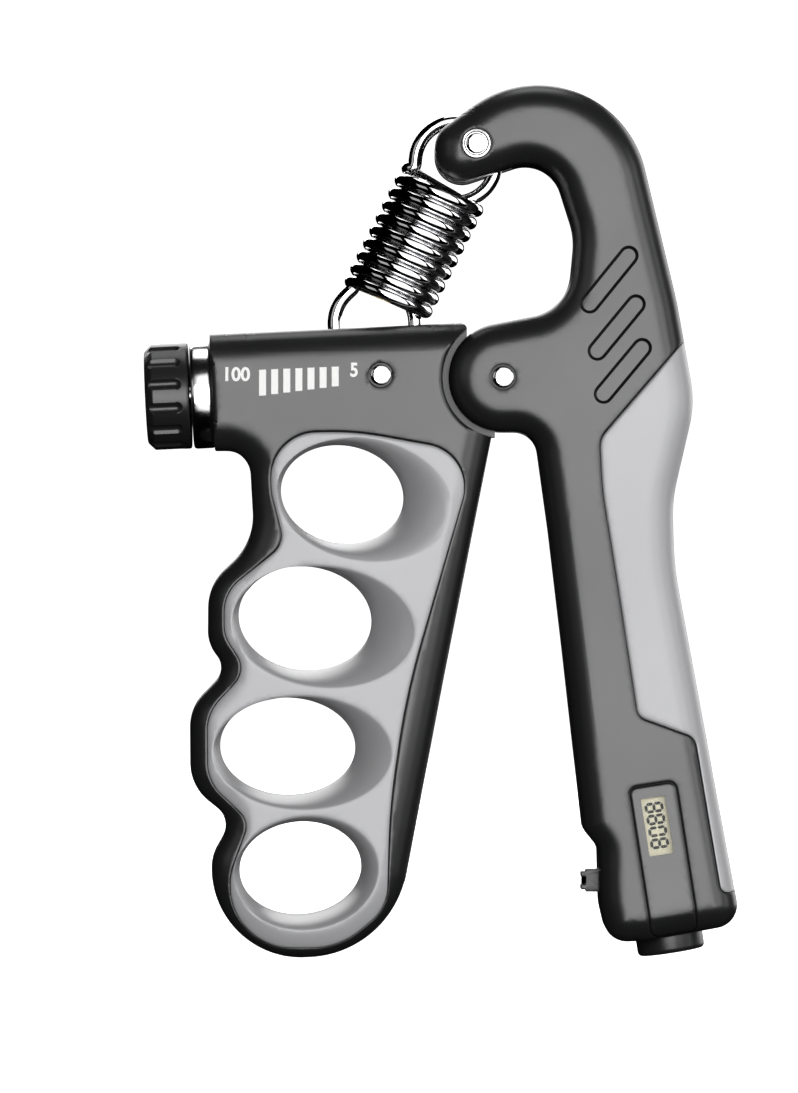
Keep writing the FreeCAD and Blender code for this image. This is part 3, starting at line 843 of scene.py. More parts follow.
def edge_rings(line: np.ndarray, wide: float) -> list:
    """Rows of points over a rounded edge, evenly spaced round its quarter ellipse.

    Args:
        line: the handle's outline.
        wide: how far in the edge reaches.

    Returns:
        The rows, without the points that a tight corner pushes past each other.
    """
    rings = []
    for turn in EDGE_ROWS:
        inset = wide * (1 - math.cos(turn))
        ring = shifted(line, inset)
        rings.append(ring[distance(ring, line) > 0.97 * inset])
    return rings


def rivet_drop(flat: np.ndarray, place: tuple, radius: float) -> np.ndarray:
    """The shallow countersink round a rivet's head, which falls with the square of the way in.

    Args:
        flat: x and z of the points.
        place: the rivet's middle.
        radius: where the countersink is deepest.

    Returns:
        How far the face falls away.
    """
    wide, deep = SINK
    away = np.hypot(flat[:, 0] - place[0], flat[:, 1] - place[1])
    return deep * (1 - np.clip((away - radius) / wide, 0, 1)) ** 2


def rivet_profile(head: float, shank: float, top: float) -> list:
    """A rivet with a low domed head at each end.

    Args:
        head: radius of the heads.
        shank: radius between them.
        top: height of the heads over the middle plane.

    Returns:
        Distances along the rivet, and radii.
    """
    front = [(-top, 0.0), (-top + 0.01, 0.35 * head), (-top + 0.05, 0.6 * head), (-top + 0.14, 0.8 * head),
             (-top + 0.30, 0.93 * head), (-top + 0.55, head), (-top + 1.4, head), (-top + 1.4, shank)]
    return front + [(-along, radius) for along, radius in reversed(front)]


def counterbored(high: np.ndarray, flat: np.ndarray, screws: Sequence[tuple], seat: float) -> np.ndarray:
    """A face with the screws' counterbores sunk in it.

    Args:
        high: the face's heights.
        flat: the points that they belong to.
        screws: x and z of each screw.
        seat: height of the counterbores' floors.

    Returns:
        The new heights.
    """
    for x, z in screws:
        high = np.where(np.hypot(flat[:, 0] - x, flat[:, 1] - z) < COUNTERBORE, seat, high)
    return high


def screw_loops(screws: Sequence[tuple]) -> list:
    """Two circles for each screw, one on either side of its counterbore's wall."""
    return [circle(x, z, COUNTERBORE + step, 28) for x, z in screws for step in (-0.05, 0.05)]


@dataclass
class Room:
    """A space inside a handle: its outline, and its height over the middle plane."""

    line: np.ndarray
    height: Heights

    def loops(self) -> list:
        """The outline doubled, so that the wall between the two stands up."""
        return [shifted(self.line, 0.05), shifted(self.line, -0.05)]


def level(height: float) -> Heights:
    """A height that is the same everywhere."""
    return lambda flat: np.full(len(flat), height)


def room_heights(rooms: Sequence[Room], flat: np.ndarray) -> np.ndarray:
    """The highest room over each point.

    Args:
        rooms: the handle's rooms.
        flat: x and z of the points.

    Returns:
        Heights over the middle plane, 0 where there is no room.
    """
    found = np.zeros(len(flat))
    for room in rooms:
        found = np.where(inside(flat, room.line), np.maximum(found, room.height(flat)), found)
    return found


# ---------------------------------------------------------------- the palm handle

BAY_TILT = math.radians(8.86)
BAY_START = np.array([29.0, -79.5])
DOWN = np.array([math.sin(BAY_TILT), -math.cos(BAY_TILT)])
ACROSS = np.array([math.cos(BAY_TILT), math.sin(BAY_TILT)])


def bay(u: np.ndarray, v: np.ndarray) -> np.ndarray:
    """Points of the display bay: u down the handle, v across it."""
    return BAY_START + np.asarray(u, float)[..., None] * DOWN + np.asarray(v, float)[..., None] * ACROSS


def bay_box(u0: float, u1: float, v0: float, v1: float, radius: float = 0.0) -> tuple:
    """The corners of a box in the display bay, with one radius for all."""
    places = bay(np.array([u0, u0, u1, u1]), np.array([v0, v1, v1, v0]))
    return tuple((x, z, radius) for x, z in places)


@dataclass
class PalmHandle:
    """The hooked palm handle: two shells, the light insert, the display and the two buttons."""

    outline: tuple = (
        (-13.3, 47.7, 5.5), (-13.3, 36.2, 5.4), (9.2, 43.7, 7.2), (14.2, 28.0, 14.0), (12.8, 13.3, 9.5),
        (-10.6, 8.77, 10.6), (-10.6, -10.6, 10.6), (6.3, -10.6, 4.6), (9.0, -30.0, 60.0),
        (11.6, -52.0, 90.0), (15.7, -88.4, 3.0), (18.6, -92.0, 3.0), (18.9, -103.0, 12.0),
        (20.6, -110.4, 4.6), (28.0, -110.2, 12.0), (46.6, -106.8, 4.6), (33.6, -37.0, 60.0),
        (33.2, -24.0, 30.0), (37.6, -5.0, 22.0), (34.0, 15.0, 60.0), (20.3, 72.0, 21.6))
    insert: tuple = (
        (40.5, 13.0, 0.0), (18.9, -12.1, 4.5), (19.4, -22.0, 60.0), (22.3, -40.0, 120.0),
        (26.3, -66.2, 2.5), (37.5, -70.3, 3.0), (42.6, -100.8, 1.6), (50.0, -99.6, 0.0), (50.0, 13.0, 0.0))
    slots: tuple = ((16.9, 14.3, 24.5, 23.7), (18.4, 5.1, 25.9, 14.2), (19.6, -3.3, 27.1, 5.7))
    slot_width: float = 3.9
    slot_depth: float = 1.1
    slot_wall: float = 0.62                        # how wide the slots' sloping walls are
    screws: tuple = ((10.0, 49.0), (20.0, 33.0), (14.5, -19.5), (19.4, -75.2), (31.5, -74.0))
    screw_seat: float = 10.8
    pivot: tuple = (0.0, 0.0)
    pivot_sink: float = 2.25                       # radius inside the countersink round the rivet
    nose: tuple = (-5.2, 45.6)
    nose_sink: float = 2.75
    spring_eye: tuple = (-9.15, 42.55)
    edge_wide: float = 5.3
    trigger_z: float = -98.6
    trigger_way: float = 2.3                       # half the height of the trigger's way out
    button_off: float = 0.9                        # how far the button lies from the bay's axis
    first_digit: float = 3.75                      # where the digits start down the bay
    digit_pitch: float = 2.35
    digit_foot: float = -1.78                      # the digits' feet, across the bay

    def rooms(self) -> list:
        """The hollows of the handle.

        Returns:
            The pocket round the tongue, the nose's slot, the hollow grip, the display bay, the bores
            of the round button and its stem, and the trigger's way out.
        """
        rooms = [Room(circle(0, 0, 12.4, 72), level(5.25))]
        x, z = self.spring_eye
        for dx, dz in ((0, 0), (-1.3, 1.1), (1.0, -1.2)):
            rooms.append(Room(circle(x + dx, z + dz, 10.15, 64), level(2.0)))
        hollow = ((12.6, -26.0, 2.0), (28.0, -26.0, 2.0), (28.6, -40.0, 30.0), (33.0, -70.0, 2.0),
                  (18.6, -71.6, 2.0))
        rooms.append(Room(rounded(hollow), level(8.8)))
        rooms.append(Room(rounded(bay_box(-1.0, 26.0, -7.4, 6.4, 0.8)), level(9.5)))
        rooms.append(Room(rounded(bay_box(27.5, 45.0, -7.55, 5.75)), self.bore(6.7)))
        rooms.append(Room(rounded(bay_box(25.9, 27.7, -2.85, 1.05)), self.bore(2.0)))
        low, high = self.trigger_z - self.trigger_way, self.trigger_z + self.trigger_way
        way = ((10.0, low, 0.0), (22.3, low, 0.0), (22.3, high, 0.0), (10.0, high, 0.0))
        rooms.append(Room(rounded(way), level(2.6)))
        return rooms

    def bore(self, radius: float) -> Heights:
        """The half circle's height over a round bore that runs down the button's axis."""
        def height(flat: np.ndarray) -> np.ndarray:
            """The bore's height over each point."""
            across = (flat - BAY_START) @ ACROSS + self.button_off
            return np.sqrt(np.maximum(0, radius * radius - across * across))
        return height

    def sinks(self) -> tuple:
        """Place and radius of the countersink round the rivet and round the nose pin."""
        return (self.pivot, self.pivot_sink), (self.nose, self.nose_sink)

    def inner(self, flat: np.ndarray) -> np.ndarray:
        """The shells' inner face: the rooms' roofs, and the middle plane elsewhere."""
        return room_heights(self.hollows, flat)

    def surface(self, flat: np.ndarray) -> np.ndarray:
        """The outer face without what is only on one side: rounded edges, slots and the insert's seam."""
        high = HALF - bevel(distance(flat, self.line), self.edge_wide, EDGE_DEEP)
        for x0, z0, x1, z1 in self.slots:
            spine = np.array([[x0, z0], [x1, z1]])
            depth = self.slot_width / 2 - distance(flat, spine)
            part = np.clip(depth / self.slot_wall, 0, 1)
            high = high - self.slot_depth * part * part * (3 - 2 * part)
        return high - seam_drop(distance(flat, self.insert_line))

    def riveted(self, flat: np.ndarray) -> np.ndarray:
        """The outer face with both countersinks."""
        return self.surface(flat) - sum(rivet_drop(flat, place, radius) for place, radius in self.sinks())

    def front(self, flat: np.ndarray) -> np.ndarray:
        """The front face, which also has the display panel's seam."""
        return self.riveted(flat) - seam_drop(distance(flat, self.panel_line))

    def back(self, flat: np.ndarray) -> np.ndarray:
        """The back face, which also has the screws' counterbores."""
        return counterbored(self.riveted(flat), flat, self.screws, self.screw_seat)

    def weave(self) -> Net:
        """The net that all the handle's mouldings are taken from.

        Returns:
            Triangles whose sides follow the outline, seams, slots, rooms, counterbores and sinks.
        """
        self.hollows = self.rooms()
        self.line = rounded(self.outline)
        self.insert_line = rounded(self.insert)
        self.panel_line = rounded(bay_box(0.0, 29.6, -4.6, 4.6, 1.6), 0.5)
        self.window_line = rounded(bay_box(2.4, 13.8, -2.6, 2.2, 0.25), 0.5)
        self.pocket_line = rounded(bay_box(1.4, 14.8, -3.8, 3.4), 0.8)
        loops = [self.line, self.window_line, self.pocket_line]
        loose = edge_rings(self.line, self.edge_wide)
        for seam in (self.insert_line, self.panel_line):
            loops += seam_loops(seam)
            loose += [shifted(seam, step) for step in NEAR_SEAM]
        for x0, z0, x1, z1 in self.slots:
            line = capsule((x0, z0), (x1, z1), self.slot_width / 2)
            loops.append(line)
            loose += [shifted(line, step) for step in (0.16, 0.31, 0.46, self.slot_wall, -0.2)]
        for room in self.hollows:
            loops += room.loops()
        loops += screw_loops(self.screws)
        for place, radius in self.sinks():
            loops.append(circle(*place, radius + 0.05, 36))
            loose += [circle(*place, radius + step, 36) for step in (0.2, 0.42)]
        outside = [some[inside(some, self.line)] for some in loose]
        return Net.woven(loops, outside, self.line, 1.15)

    def build(self) -> None:
        """Make the handle's pieces."""
        net = self.weave()
        net.solid(self.keep_front, self.front, self.inner, -1).piece(
            "palm_shell_front_moulding", "palm_handle", ["palm_shell_front"], BLACK_SHELL)
        net.solid(self.keep_shell, self.back, self.inner, 1).piece(
            "palm_shell_back_moulding", "palm_handle", ["palm_shell_back"], BLACK_SHELL)
        joined([net.solid(self.keep_insert, self.surface, level(0.0), side) for side in (-1, 1)]).piece(
            "palm_grip_insert_moulding", "palm_handle", ["palm_grip_insert"], SILVER)
        net.solid(self.keep_panel, self.front, self.panel_inner, -1).piece(
            "display_panel_moulding", "palm_handle", ["display_panel"], PANEL_PLASTIC)
        self.display()
        self.metalwork()
        self.buttons()

    def keep_shell(self, middles: np.ndarray) -> np.ndarray:
        """Triangles of the back shell: in the outline, outside the insert."""
        return inside(middles, self.line) & ~inside(middles, self.insert_line)

    def keep_front(self, middles: np.ndarray) -> np.ndarray:
        """Triangles of the front shell, which the display panel is let into."""
        return self.keep_shell(middles) & ~inside(middles, self.panel_line)

    def keep_insert(self, middles: np.ndarray) -> np.ndarray:
        """Triangles of the insert."""
        return inside(middles, self.line) & inside(middles, self.insert_line)

    def keep_panel(self, middles: np.ndarray) -> np.ndarray:
        """Triangles of the display panel, which its window goes through."""
        within = inside(middles, self.line) & inside(middles, self.panel_line)
        return within & ~inside(middles, self.window_line)

    def panel_inner(self, flat: np.ndarray) -> np.ndarray:
        """The panel's inner face, with the pocket for the window and the cell."""
        return np.where(inside(flat, self.pocket_line), HALF - 0.6, HALF - 3.4)

    def display(self) -> None:
        """The pane, the cell under it, and the four digits on the cell."""
        pillow(bay_box(1.5, 14.7, -3.7, 3.3, 0.3), -12.38, -11.75, 0.05).piece(
            "display_window_pane", "palm_handle", ["display_window"], PANE, True)
        pillow(bay_box(1.5, 14.7, -3.7, 3.3, 0.2), -11.6, -9.6, 0.08).piece(
            "display_cell", "palm_handle", ["display_glass"], LCD_CELL, True)
        bars = [bar for place, digit in enumerate("8808")
                for bar in self.segments(digit, self.first_digit + self.digit_pitch * place)]
        joined([prism(bar, -11.67, -11.61) for bar in bars]).piece(
            "display_digits", "palm_handle", [], DIGIT_INK, True)

    def segments(self, digit: str, start: float) -> list:
        """The bars of one seven-segment digit, which is read down the handle.

        Args:
            digit: the figure.
            start: where it starts down the bay.

        Returns:
            The outline of each bar that is on.
        """
        wide, high, thick, gap = 1.5, 3.1, 0.29, 0.07
        lit = {"8": "abcdefg", "0": "abcdef"}[digit]
        middle = high / 2
        ends = {"a": (0, high, wide, high), "g": (0, middle, wide, middle), "d": (0, 0, wide, 0),
                "f": (0, middle, 0, high), "b": (wide, middle, wide, high),
                "e": (0, 0, 0, middle), "c": (wide, 0, wide, middle)}
        found = []
        for name in lit:
            u0, v0, u1, v1 = ends[name]
            run = unit(np.array([u1 - u0, v1 - v0], float))
            side = np.array([-run[1], run[0]])
            first = np.array([u0, v0]) + run * gap
            last = np.array([u1, v1]) - run * gap
            local = np.array([first, first + (run + side) * thick, last + (side - run) * thick, last,
                              last - (run + side) * thick, first + (run - side) * thick])
            found.append(bay(start + local[:, 0], local[:, 1] + self.digit_foot))
        return found

    def metalwork(self) -> None:
        """The pivot rivet, and the nose pin with the steel ferrule round its head."""
        pivot = Axis((0, 0, 0), (0, 1, 0))
        pivot.turned(rivet_profile(2.25, 2.0, HALF + 0.25), 64).piece(
            "pivot_rivet_turned", "palm_handle", ["pivot_rivet"], STEEL, True)
        nose = Axis((self.nose[0], 0, self.nose[1]), (0, 1, 0))
        ferrule = ((12.6, 2.45), (12.6, 2.8), (12.95, 2.8), (13.12, 2.7), (13.14, 2.58), (13.0, 2.45))
        pins = [nose.turned(rivet_profile(2.3, 1.25, HALF + 0.25), 64)]
        for side in (-1, 1):
            ring = [(side * along, radius) for along, radius in ferrule]
            pins.append(nose.turned(ring, 64, ring=True))
        joined(pins).piece("nose_pin_turned", "palm_handle", ["nose_pin"], STEEL, True)

    def buttons(self) -> None:
        """The count trigger with its two prongs, and the round reset button."""
        prong = ((15.35, 1.75, 0.2), (15.35, 0.75, 0.2), (16.3, 0.75, 0.15))
        side = ((20.5, 2.2, 0.2), (16.3, 2.2, 0.2), (16.3, 1.75, 0.15))
        below = tuple((x, -rise, radius) for x, rise, radius in reversed(side + prong))
        head = [(x, self.trigger_z + rise, radius) for x, rise, radius in prong + below + side]
        stem = Axis((0, 0, self.trigger_z), (1, 0, 0)).turned(
            ((20.4, 0), (20.4, 1.3), (25.0, 1.3), (25.0, 1.85), (25.1, 1.9), (25.4, 1.9), (25.5, 1.8),
             (25.5, 0)), 40)
        (pillow(head, -2.5, 2.5, 0.22) + stem).piece(
            "count_plunger_head", "count_plunger", ["count_plunger"], BUTTON_PLASTIC, True)
        start = BAY_START - self.button_off * ACROSS
        axis = Axis((start[0], 0, start[1]), (DOWN[0], 0, DOWN[1]))
        axis.turned(((24.9, 0), (24.9, 2.4), (25.1, 2.6), (25.6, 2.6), (25.7, 1.9), (28.9, 1.9),
                     (28.9, 6.3), (29.1, 6.6), (32.5, 6.6), (32.9, 6.52), (33.2, 6.3), (33.38, 5.95),
                     (33.45, 5.5), (33.5, 3.0), (33.52, 0)), 96).piece(
            "reset_button_cap", "reset_button", ["reset_button"], BUTTON_PLASTIC, True)


# ---------------------------------------------------------------- the finger handle

SCREW_TILT = math.radians(2.7)
SCREW_START = np.array([-56.8, -3.2])
SCREW_ALONG = np.array([math.cos(SCREW_TILT), math.sin(SCREW_TILT)])
SCREW_UP = np.array([-math.sin(SCREW_TILT), math.cos(SCREW_TILT)])
HOUSING_FOOT = -24.0                               # the housing's end is square above this height
MEAN_FLARE = 12.0                                  # mean radius of the flares
SCREW_AXIS = Axis((SCREW_START[0], 0, SCREW_START[1]), (SCREW_ALONG[0], 0, SCREW_ALONG[1]))


def screw_box(s0: float, s1: float, h0: float, h1: float) -> np.ndarray:
    """The outline of a box along the lead screw's axis.

    Args:
        s0: where it starts along the axis.
        s1: where it ends.
        h0: its lower side, square to the axis.
        h1: its upper side.

    Returns:
        Points of the outline.
    """
    places = ((s0, h0), (s1, h0), (s1, h1), (s0, h1))
    return densify(np.array([SCREW_START + s * SCREW_ALONG + h * SCREW_UP for s, h in places]), 1.0)


def flat_box(x0: float, x1: float, z0: float, z1: float, radius: float = 0.0) -> np.ndarray:
    """The outline of an upright box."""
    return rounded(((x0, z0, radius), (x1, z0, radius), (x1, z1, radius), (x0, z1, radius)), 1.0)


@dataclass
class FingerHandle:
    """The finger handle: two frames, two light inserts, the spring's trough, and the force scale."""

    outline: tuple = (
        (-66.0, 8.0, 0.0), (2.3, 11.15, 0.0), (-11.6, -59.1, 200.0), (-19.0, -98.0, 10.0),
        (-24.0, -112.6, 20.0), (-56.6, -114.4, 17.5), (-57.0, -93.5, 9.0), (-53.0, -86.4, 4.2),
        (-61.1, -80.0, 9.5), (-61.2, -64.5, 9.5), (-54.0, -57.0, 3.6), (-57.7, -52.0, 7.5),
        (-57.6, -40.5, 10.5), (-48.6, -32.0, 12.0), (-49.6, -14.2, 5.0), (-66.0, -14.3, 0.0))
    insert: tuple = (
        (-45.6, -11.0, 9.0), (-29.0, -10.6, 60.0), (-5.2, -14.9, 8.5), (-10.4, -32.5, 60.0),
        (-19.0, -62.0, 150.0), (-22.1, -84.0, 120.0), (-22.6, -103.5, 9.0), (-32.0, -111.4, 15.0),
        (-53.2, -111.4, 12.0), (-53.2, -97.0, 12.0), (-49.4, -86.6, 4.0), (-57.6, -79.0, 9.0),
        (-57.7, -65.5, 9.0), (-49.9, -57.2, 4.5), (-54.4, -50.5, 7.0), (-54.4, -42.0, 8.0),
        (-42.6, -32.6, 4.5), (-45.2, -22.5, 10.0))
    holes: tuple = (Oval(-31.5, -22.8, 12.1, 9.6, -10), Oval(-38.8, -47.2, 13.1, 10.2, -6),
                    Oval(-42.2, -72.3, 13.3, 9.6, -1), Oval(-39.7, -96.2, 12.0, 9.2, 6))
    flares: tuple = (Oval(-27.2, -23.9, 17.2, 11.8, -10), Oval(-35.2, -48.6, 17.6, 11.6, -6),
                     Oval(-39.3, -73.2, 17.2, 10.9, -1), Oval(-38.5, -96.7, 14.0, 10.9, 6))
    creases: tuple = (0.12, 0.5, 0.5, 0.45)        # how hard each flare's far rim is
    flare_depth: float = 9.0
    lip_wide: float = 0.45                         # the small round outside a flare's rim
    lip_deep: float = 0.44                         # its depth at a rim that is quite hard
    screws: tuple = ((-16.6, -7.0), (-50.4, -10.2), (-15.9, -61.0), (-19.4, -86.0))
    screw_seat: float = 10.2
    cross_rivet: tuple = (-23.9, 0.4)
    edge_wide: float = 6.2
    hollow: float = 11.8                           # radius of the clearance round the palm handle's disc
    tongue: float = 9.6                            # radius of the tongue between the disc's cheeks
    tongue_half: float = 4.65                      # half the tongue's thickness
    tip: float = -7.0                              # the housing's top corner beside the disc
    tip_round: tuple = (-8.4, 9.26, 1.4)           # middle and radius of that corner's round
    heel: float = -1.5                             # the handle's corner under the disc
    spigot: float = 5.55                           # radius of the bore for the collar's spigot

    def rooms(self) -> list:
        """The hollows of the handle.

        Returns:
            The trough for the spring's foot and its end, the slider's channel, the slot for the loop,
            the bay for the slider's lugs, and the bore for the collar's spigot.
        """
        def bore(flat: np.ndarray) -> np.ndarray:
            """The half circle's height over the bore for the collar's spigot."""
            above = (flat - SCREW_START) @ SCREW_UP
            return np.sqrt(np.maximum(0, self.spigot ** 2 - above * above))
        return [Room(flat_box(-49.0, -11.9, 5.0, 30.0, 2.0), level(10.7)),
                Room(flat_box(-13.4, -9.5, 9.0, 30.0), level(6.4)),
                Room(screw_box(4.0, 30.9, -3.6, 10.0), level(5.0)),
                Room(flat_box(-50.0, -14.2, 0.4, 30.0), level(2.0)),
                Room(flat_box(-35.2, -24.15, 1.85, 6.0), level(5.0)),
                Room(screw_box(-3.0, 4.0, -5.5, 5.5), bore)]

    def inner(self, flat: np.ndarray) -> np.ndarray:
        """The frames' inner face: the rooms' roofs, and the middle plane elsewhere."""
        return room_heights(self.hollows, flat)

    def face(self, flat: np.ndarray) -> np.ndarray:
        """The outer face: the lowest of its edges, ends and flares, less the seam and the countersink.

        Args:
            flat: x and z of the points.

        Returns:
            Heights over the middle plane.
        """
        high = HALF - bevel(distance(flat, self.line), self.edge_wide, EDGE_DEEP)
        end = self.from_end(flat)
        around = np.hypot(flat[:, 0], flat[:, 1])
        high = np.minimum(high, HALF - bevel(end, 0.9, 0.9))
        high = np.minimum(high, HALF - bevel(around - self.hollow, 0.8, 0.8))
        for hole, flare, crease in zip(self.holes, self.flares, self.creases):
            high = np.minimum(high, self.flare_height(flat, hole, flare, crease))
        high = high - seam_drop(distance(flat, self.insert_line)) - rivet_drop(flat, self.cross_rivet, 2.2)
        return np.where(around < self.hollow, self.tongue_half, high)

    @staticmethod
    def from_end(flat: np.ndarray) -> np.ndarray:
        """Distance from the housing's square end, which is only there beside the screw."""
        return np.where(flat[:, 1] > HOUSING_FOOT, (flat - SCREW_START) @ SCREW_ALONG, 50.0)

    def flare_height(self, flat: np.ndarray, hole: Oval, flare: Oval, crease: float) -> np.ndarray:
        """The face round one finger hole.

        Its height depends on how far a point is on the way from the hole's edge, 0, to the flare's
        rim, 1: steep at the hole, and flatter towards the rim. Outside the rim a small round eases
        the edge.

        Args:
            flat: x and z of the points.
            hole: the hole's edge.
            flare: the flare's rim.
            crease: how hard the rim is, from 0 to 1.

        Returns:
            Heights over the middle plane.
        """
        near = np.maximum(hole.level(flat) - 1, 0)
        far = 1 - flare.level(flat)
        part = near / np.maximum(near + np.maximum(far, 0), 1e-9)
        shape = crease * part + (1 - crease) * (1 - (1 - part) ** 2)
        deep = self.lip_deep * crease
        lip = deep * (1 - np.clip(-far * MEAN_FLARE / self.lip_wide, 0, 1)) ** 2
        return np.where(far > 0, HALF - self.flare_depth * (1 - shape) - deep, HALF - lip)

    def back(self, flat: np.ndarray) -> np.ndarray:
        """The back face, which also has the screws' counterbores."""
        return counterbored(self.face(flat), flat, self.screws, self.screw_seat)

    def weave(self) -> Net:
        """The net that all the handle's mouldings are taken from.

        Returns:
            Triangles whose sides follow the outline, seam, holes, flares, rooms and counterbores.
        """
        self.hollows = self.rooms()
        self.line = rounded(self.outline)
        self.insert_line = rounded(self.insert)
        loops = [self.line, circle(0, 0, self.hollow + 0.04, 110), circle(0, 0, self.hollow - 0.04, 110),
                 circle(0, 0, self.tongue, 90), circle(*self.tip_round, 40),
                 flat_box(self.tip, 4.0, 7.5, 14.0), flat_box(self.heel, 4.0, -12.5, -9.0),
                 screw_box(0.0, 3.0, -16, 16)]
        loops += seam_loops(self.insert_line)
        loose = [shifted(self.insert_line, step) for step in NEAR_SEAM]
        loose += edge_rings(self.line, self.edge_wide)
        for inset in (0.12, 0.3, 0.55, 0.9):
            loose += [circle(0, 0, self.hollow + inset, 110), screw_box(inset, 3.0, -16, 16)]
        for hole, flare in zip(self.holes, self.flares):
            first, last = hole.ring(), flare.ring()
            loops += [first, last]
            for part in (0.06, 0.14, 0.24, 0.35, 0.47, 0.6, 0.73, 0.87):
                loose.append(first + (last - first) * part)
            loose += [flare.ring(grow=0.2), flare.ring(grow=0.45)]
        for room in self.hollows:
            loops += room.loops()
        loops += screw_loops(self.screws)
        loops.append(circle(*self.cross_rivet, 2.25, 36))
        loose += [circle(*self.cross_rivet, radius, 36) for radius in (2.4, 2.62)]
        within = [some[inside(some, self.line)] for some in loose]
        return Net.woven(loops, within, self.line, 1.1)

    def keep_frame(self, middles: np.ndarray) -> np.ndarray:
        """Triangles of the frames, with the tongue that goes between the palm handle's cheeks.

        Args:
            middles: x and z of the triangles' middles.

        Returns:
            True for each triangle to keep.
        """
        around = np.hypot(middles[:, 0], middles[:, 1])
        top = middles[:, 1] > 0
        link = middles[:, 0] < np.where(top, self.tip, self.heel)
        body = inside(middles, self.line) & (around > self.hollow) & ~inside(middles, self.insert_line)
        body &= (self.from_end(middles) > 0) & ~(top & (middles[:, 0] > self.tip))
        x, z, radius = self.tip_round
        beyond = np.hypot(middles[:, 0] - x, middles[:, 1] - z) > radius
        body &= ~((middles[:, 0] > x) & (middles[:, 1] > z) & beyond)
        return body | (around < self.tongue) | (link & (around < self.hollow))

    def keep_insert(self, middles: np.ndarray) -> np.ndarray:
        """Triangles of the light insert, outside the finger holes."""
        open_to = np.min([hole.level(middles) for hole in self.holes], axis=0)
        return inside(middles, self.insert_line) & (open_to > 1)

    def build(self) -> None:
        """Make the handle's pieces."""
        net = self.weave()
        for side, word, outer in ((-1, "front", self.face), (1, "back", self.back)):
            net.solid(self.keep_frame, outer, self.inner, side).piece(
                "finger_frame_%s_moulding" % word, "finger_handle", ["finger_frame_" + word], BLACK_SHELL)
            net.solid(self.keep_insert, self.face, level(0.0), side).piece(
                "finger_insert_%s_moulding" % word, "finger_handle", ["finger_insert_" + word], SILVER)
        self.metalwork()
        self.scale()

    def metalwork(self) -> None:
        """The two housing rivets and the thrust collar."""
        x, z = self.cross_rivet
        axis = Axis((x, 0, z), (0, 1, 0))
        shape = ((0, 0), (0.01, 0.8), (0.06, 1.4), (0.16, 1.8), (0.3, 2.02), (0.5, 2.15), (1.4, 2.15),
                 (1.4, 1.25), (10.0, 1.25), (10.0, 0))
        top = HALF + 0.15
        heads = [axis.turned([(side * (top - drop), radius) for drop, radius in shape], 56)
                 for side in (-1, 1)]
        joined(heads).piece("housing_rivets_turned", "finger_handle", ["housing_rivets"], STEEL, True)
        ring = ((-4.2, 1.7), (-4.2, 9.9), (-4.1, 10.2), (-3.85, 10.42), (-3.5, 10.5), (-0.6, 10.5),
                (-0.3, 10.42), (-0.08, 10.2), (0.0, 9.9), (0.0, 5.45), (3.9, 5.45), (3.9, 1.7))
        SCREW_AXIS.turned(ring, 128, ring=True).piece(
            "thrust_collar_turned", "finger_handle", ["thrust_collar"], COLLAR_METAL, True)

    def scale(self) -> None:
        """Seven printed bars that grow to the left, with a numeral at each end."""
        bars, half_wide = [], 0.68
        for i in range(7):
            left, right = -46.9 + 2.36 * i - half_wide, -46.9 + 2.36 * i + half_wide
            top, low = 1.4 + 0.1 * i, -3.65 + 0.3 * i
            corners = ((left, low), (right, low + 0.06), (right, top + 0.04), (left, top))
            bars.append(prism(np.array(corners), -HALF - 0.05, -HALF + 0.1))
        joined(bars).piece("force_scale_bars", "finger_handle", [], SCALE_INK, True)
        for word, x0, x1, z0, z1 in (("100", -54.15, -49.35, -0.84, 1.95), ("5", -29.8, -28.35, 0.0, 2.8)):
            numeral(word, x0, x1, z0, z1).piece("force_scale_" + word, "finger_handle", [], SCALE_INK, True)


def numeral(word: str, x0: float, x1: float, z0: float, z1: float) -> Solid:
    """A numeral as a thin raised print, fitted into a box on the housing's face.

    Args:
        word: the figures.
        x0: left side of the box.
        x1: right side.
        z0: bottom.
        z1: top.

    Returns:
        The print.
    """
    curve = bpy.data.curves.new("numeral", "FONT")
    curve.body = word
    curve.extrude = 0.5
    curve.offset = 0.03
    text = bpy.data.objects.new("numeral", curve)
    bpy.context.scene.collection.objects.link(text)
    mesh = bpy.data.meshes.new_from_object(text)
    flat = np.empty(3 * len(mesh.vertices))
    mesh.vertices.foreach_get("co", flat)
    flat = flat.reshape(-1, 3)
    faces = [list(face.vertices) for face in mesh.polygons]
    bpy.data.objects.remove(text)
    bpy.data.curves.remove(curve)
    bpy.data.meshes.remove(mesh)
    low, high = flat.min(axis=0), flat.max(axis=0)
    part = (flat - low) / (high - low)
    y = -HALF - 0.05 + 0.15 * (1 - part[:, 2])
    return Solid(np.stack([x0 + part[:, 0] * (x1 - x0), y, z0 + part[:, 1] * (z1 - z0)], axis=1), faces)


# ---------------------------------------------------------------- knob and spring

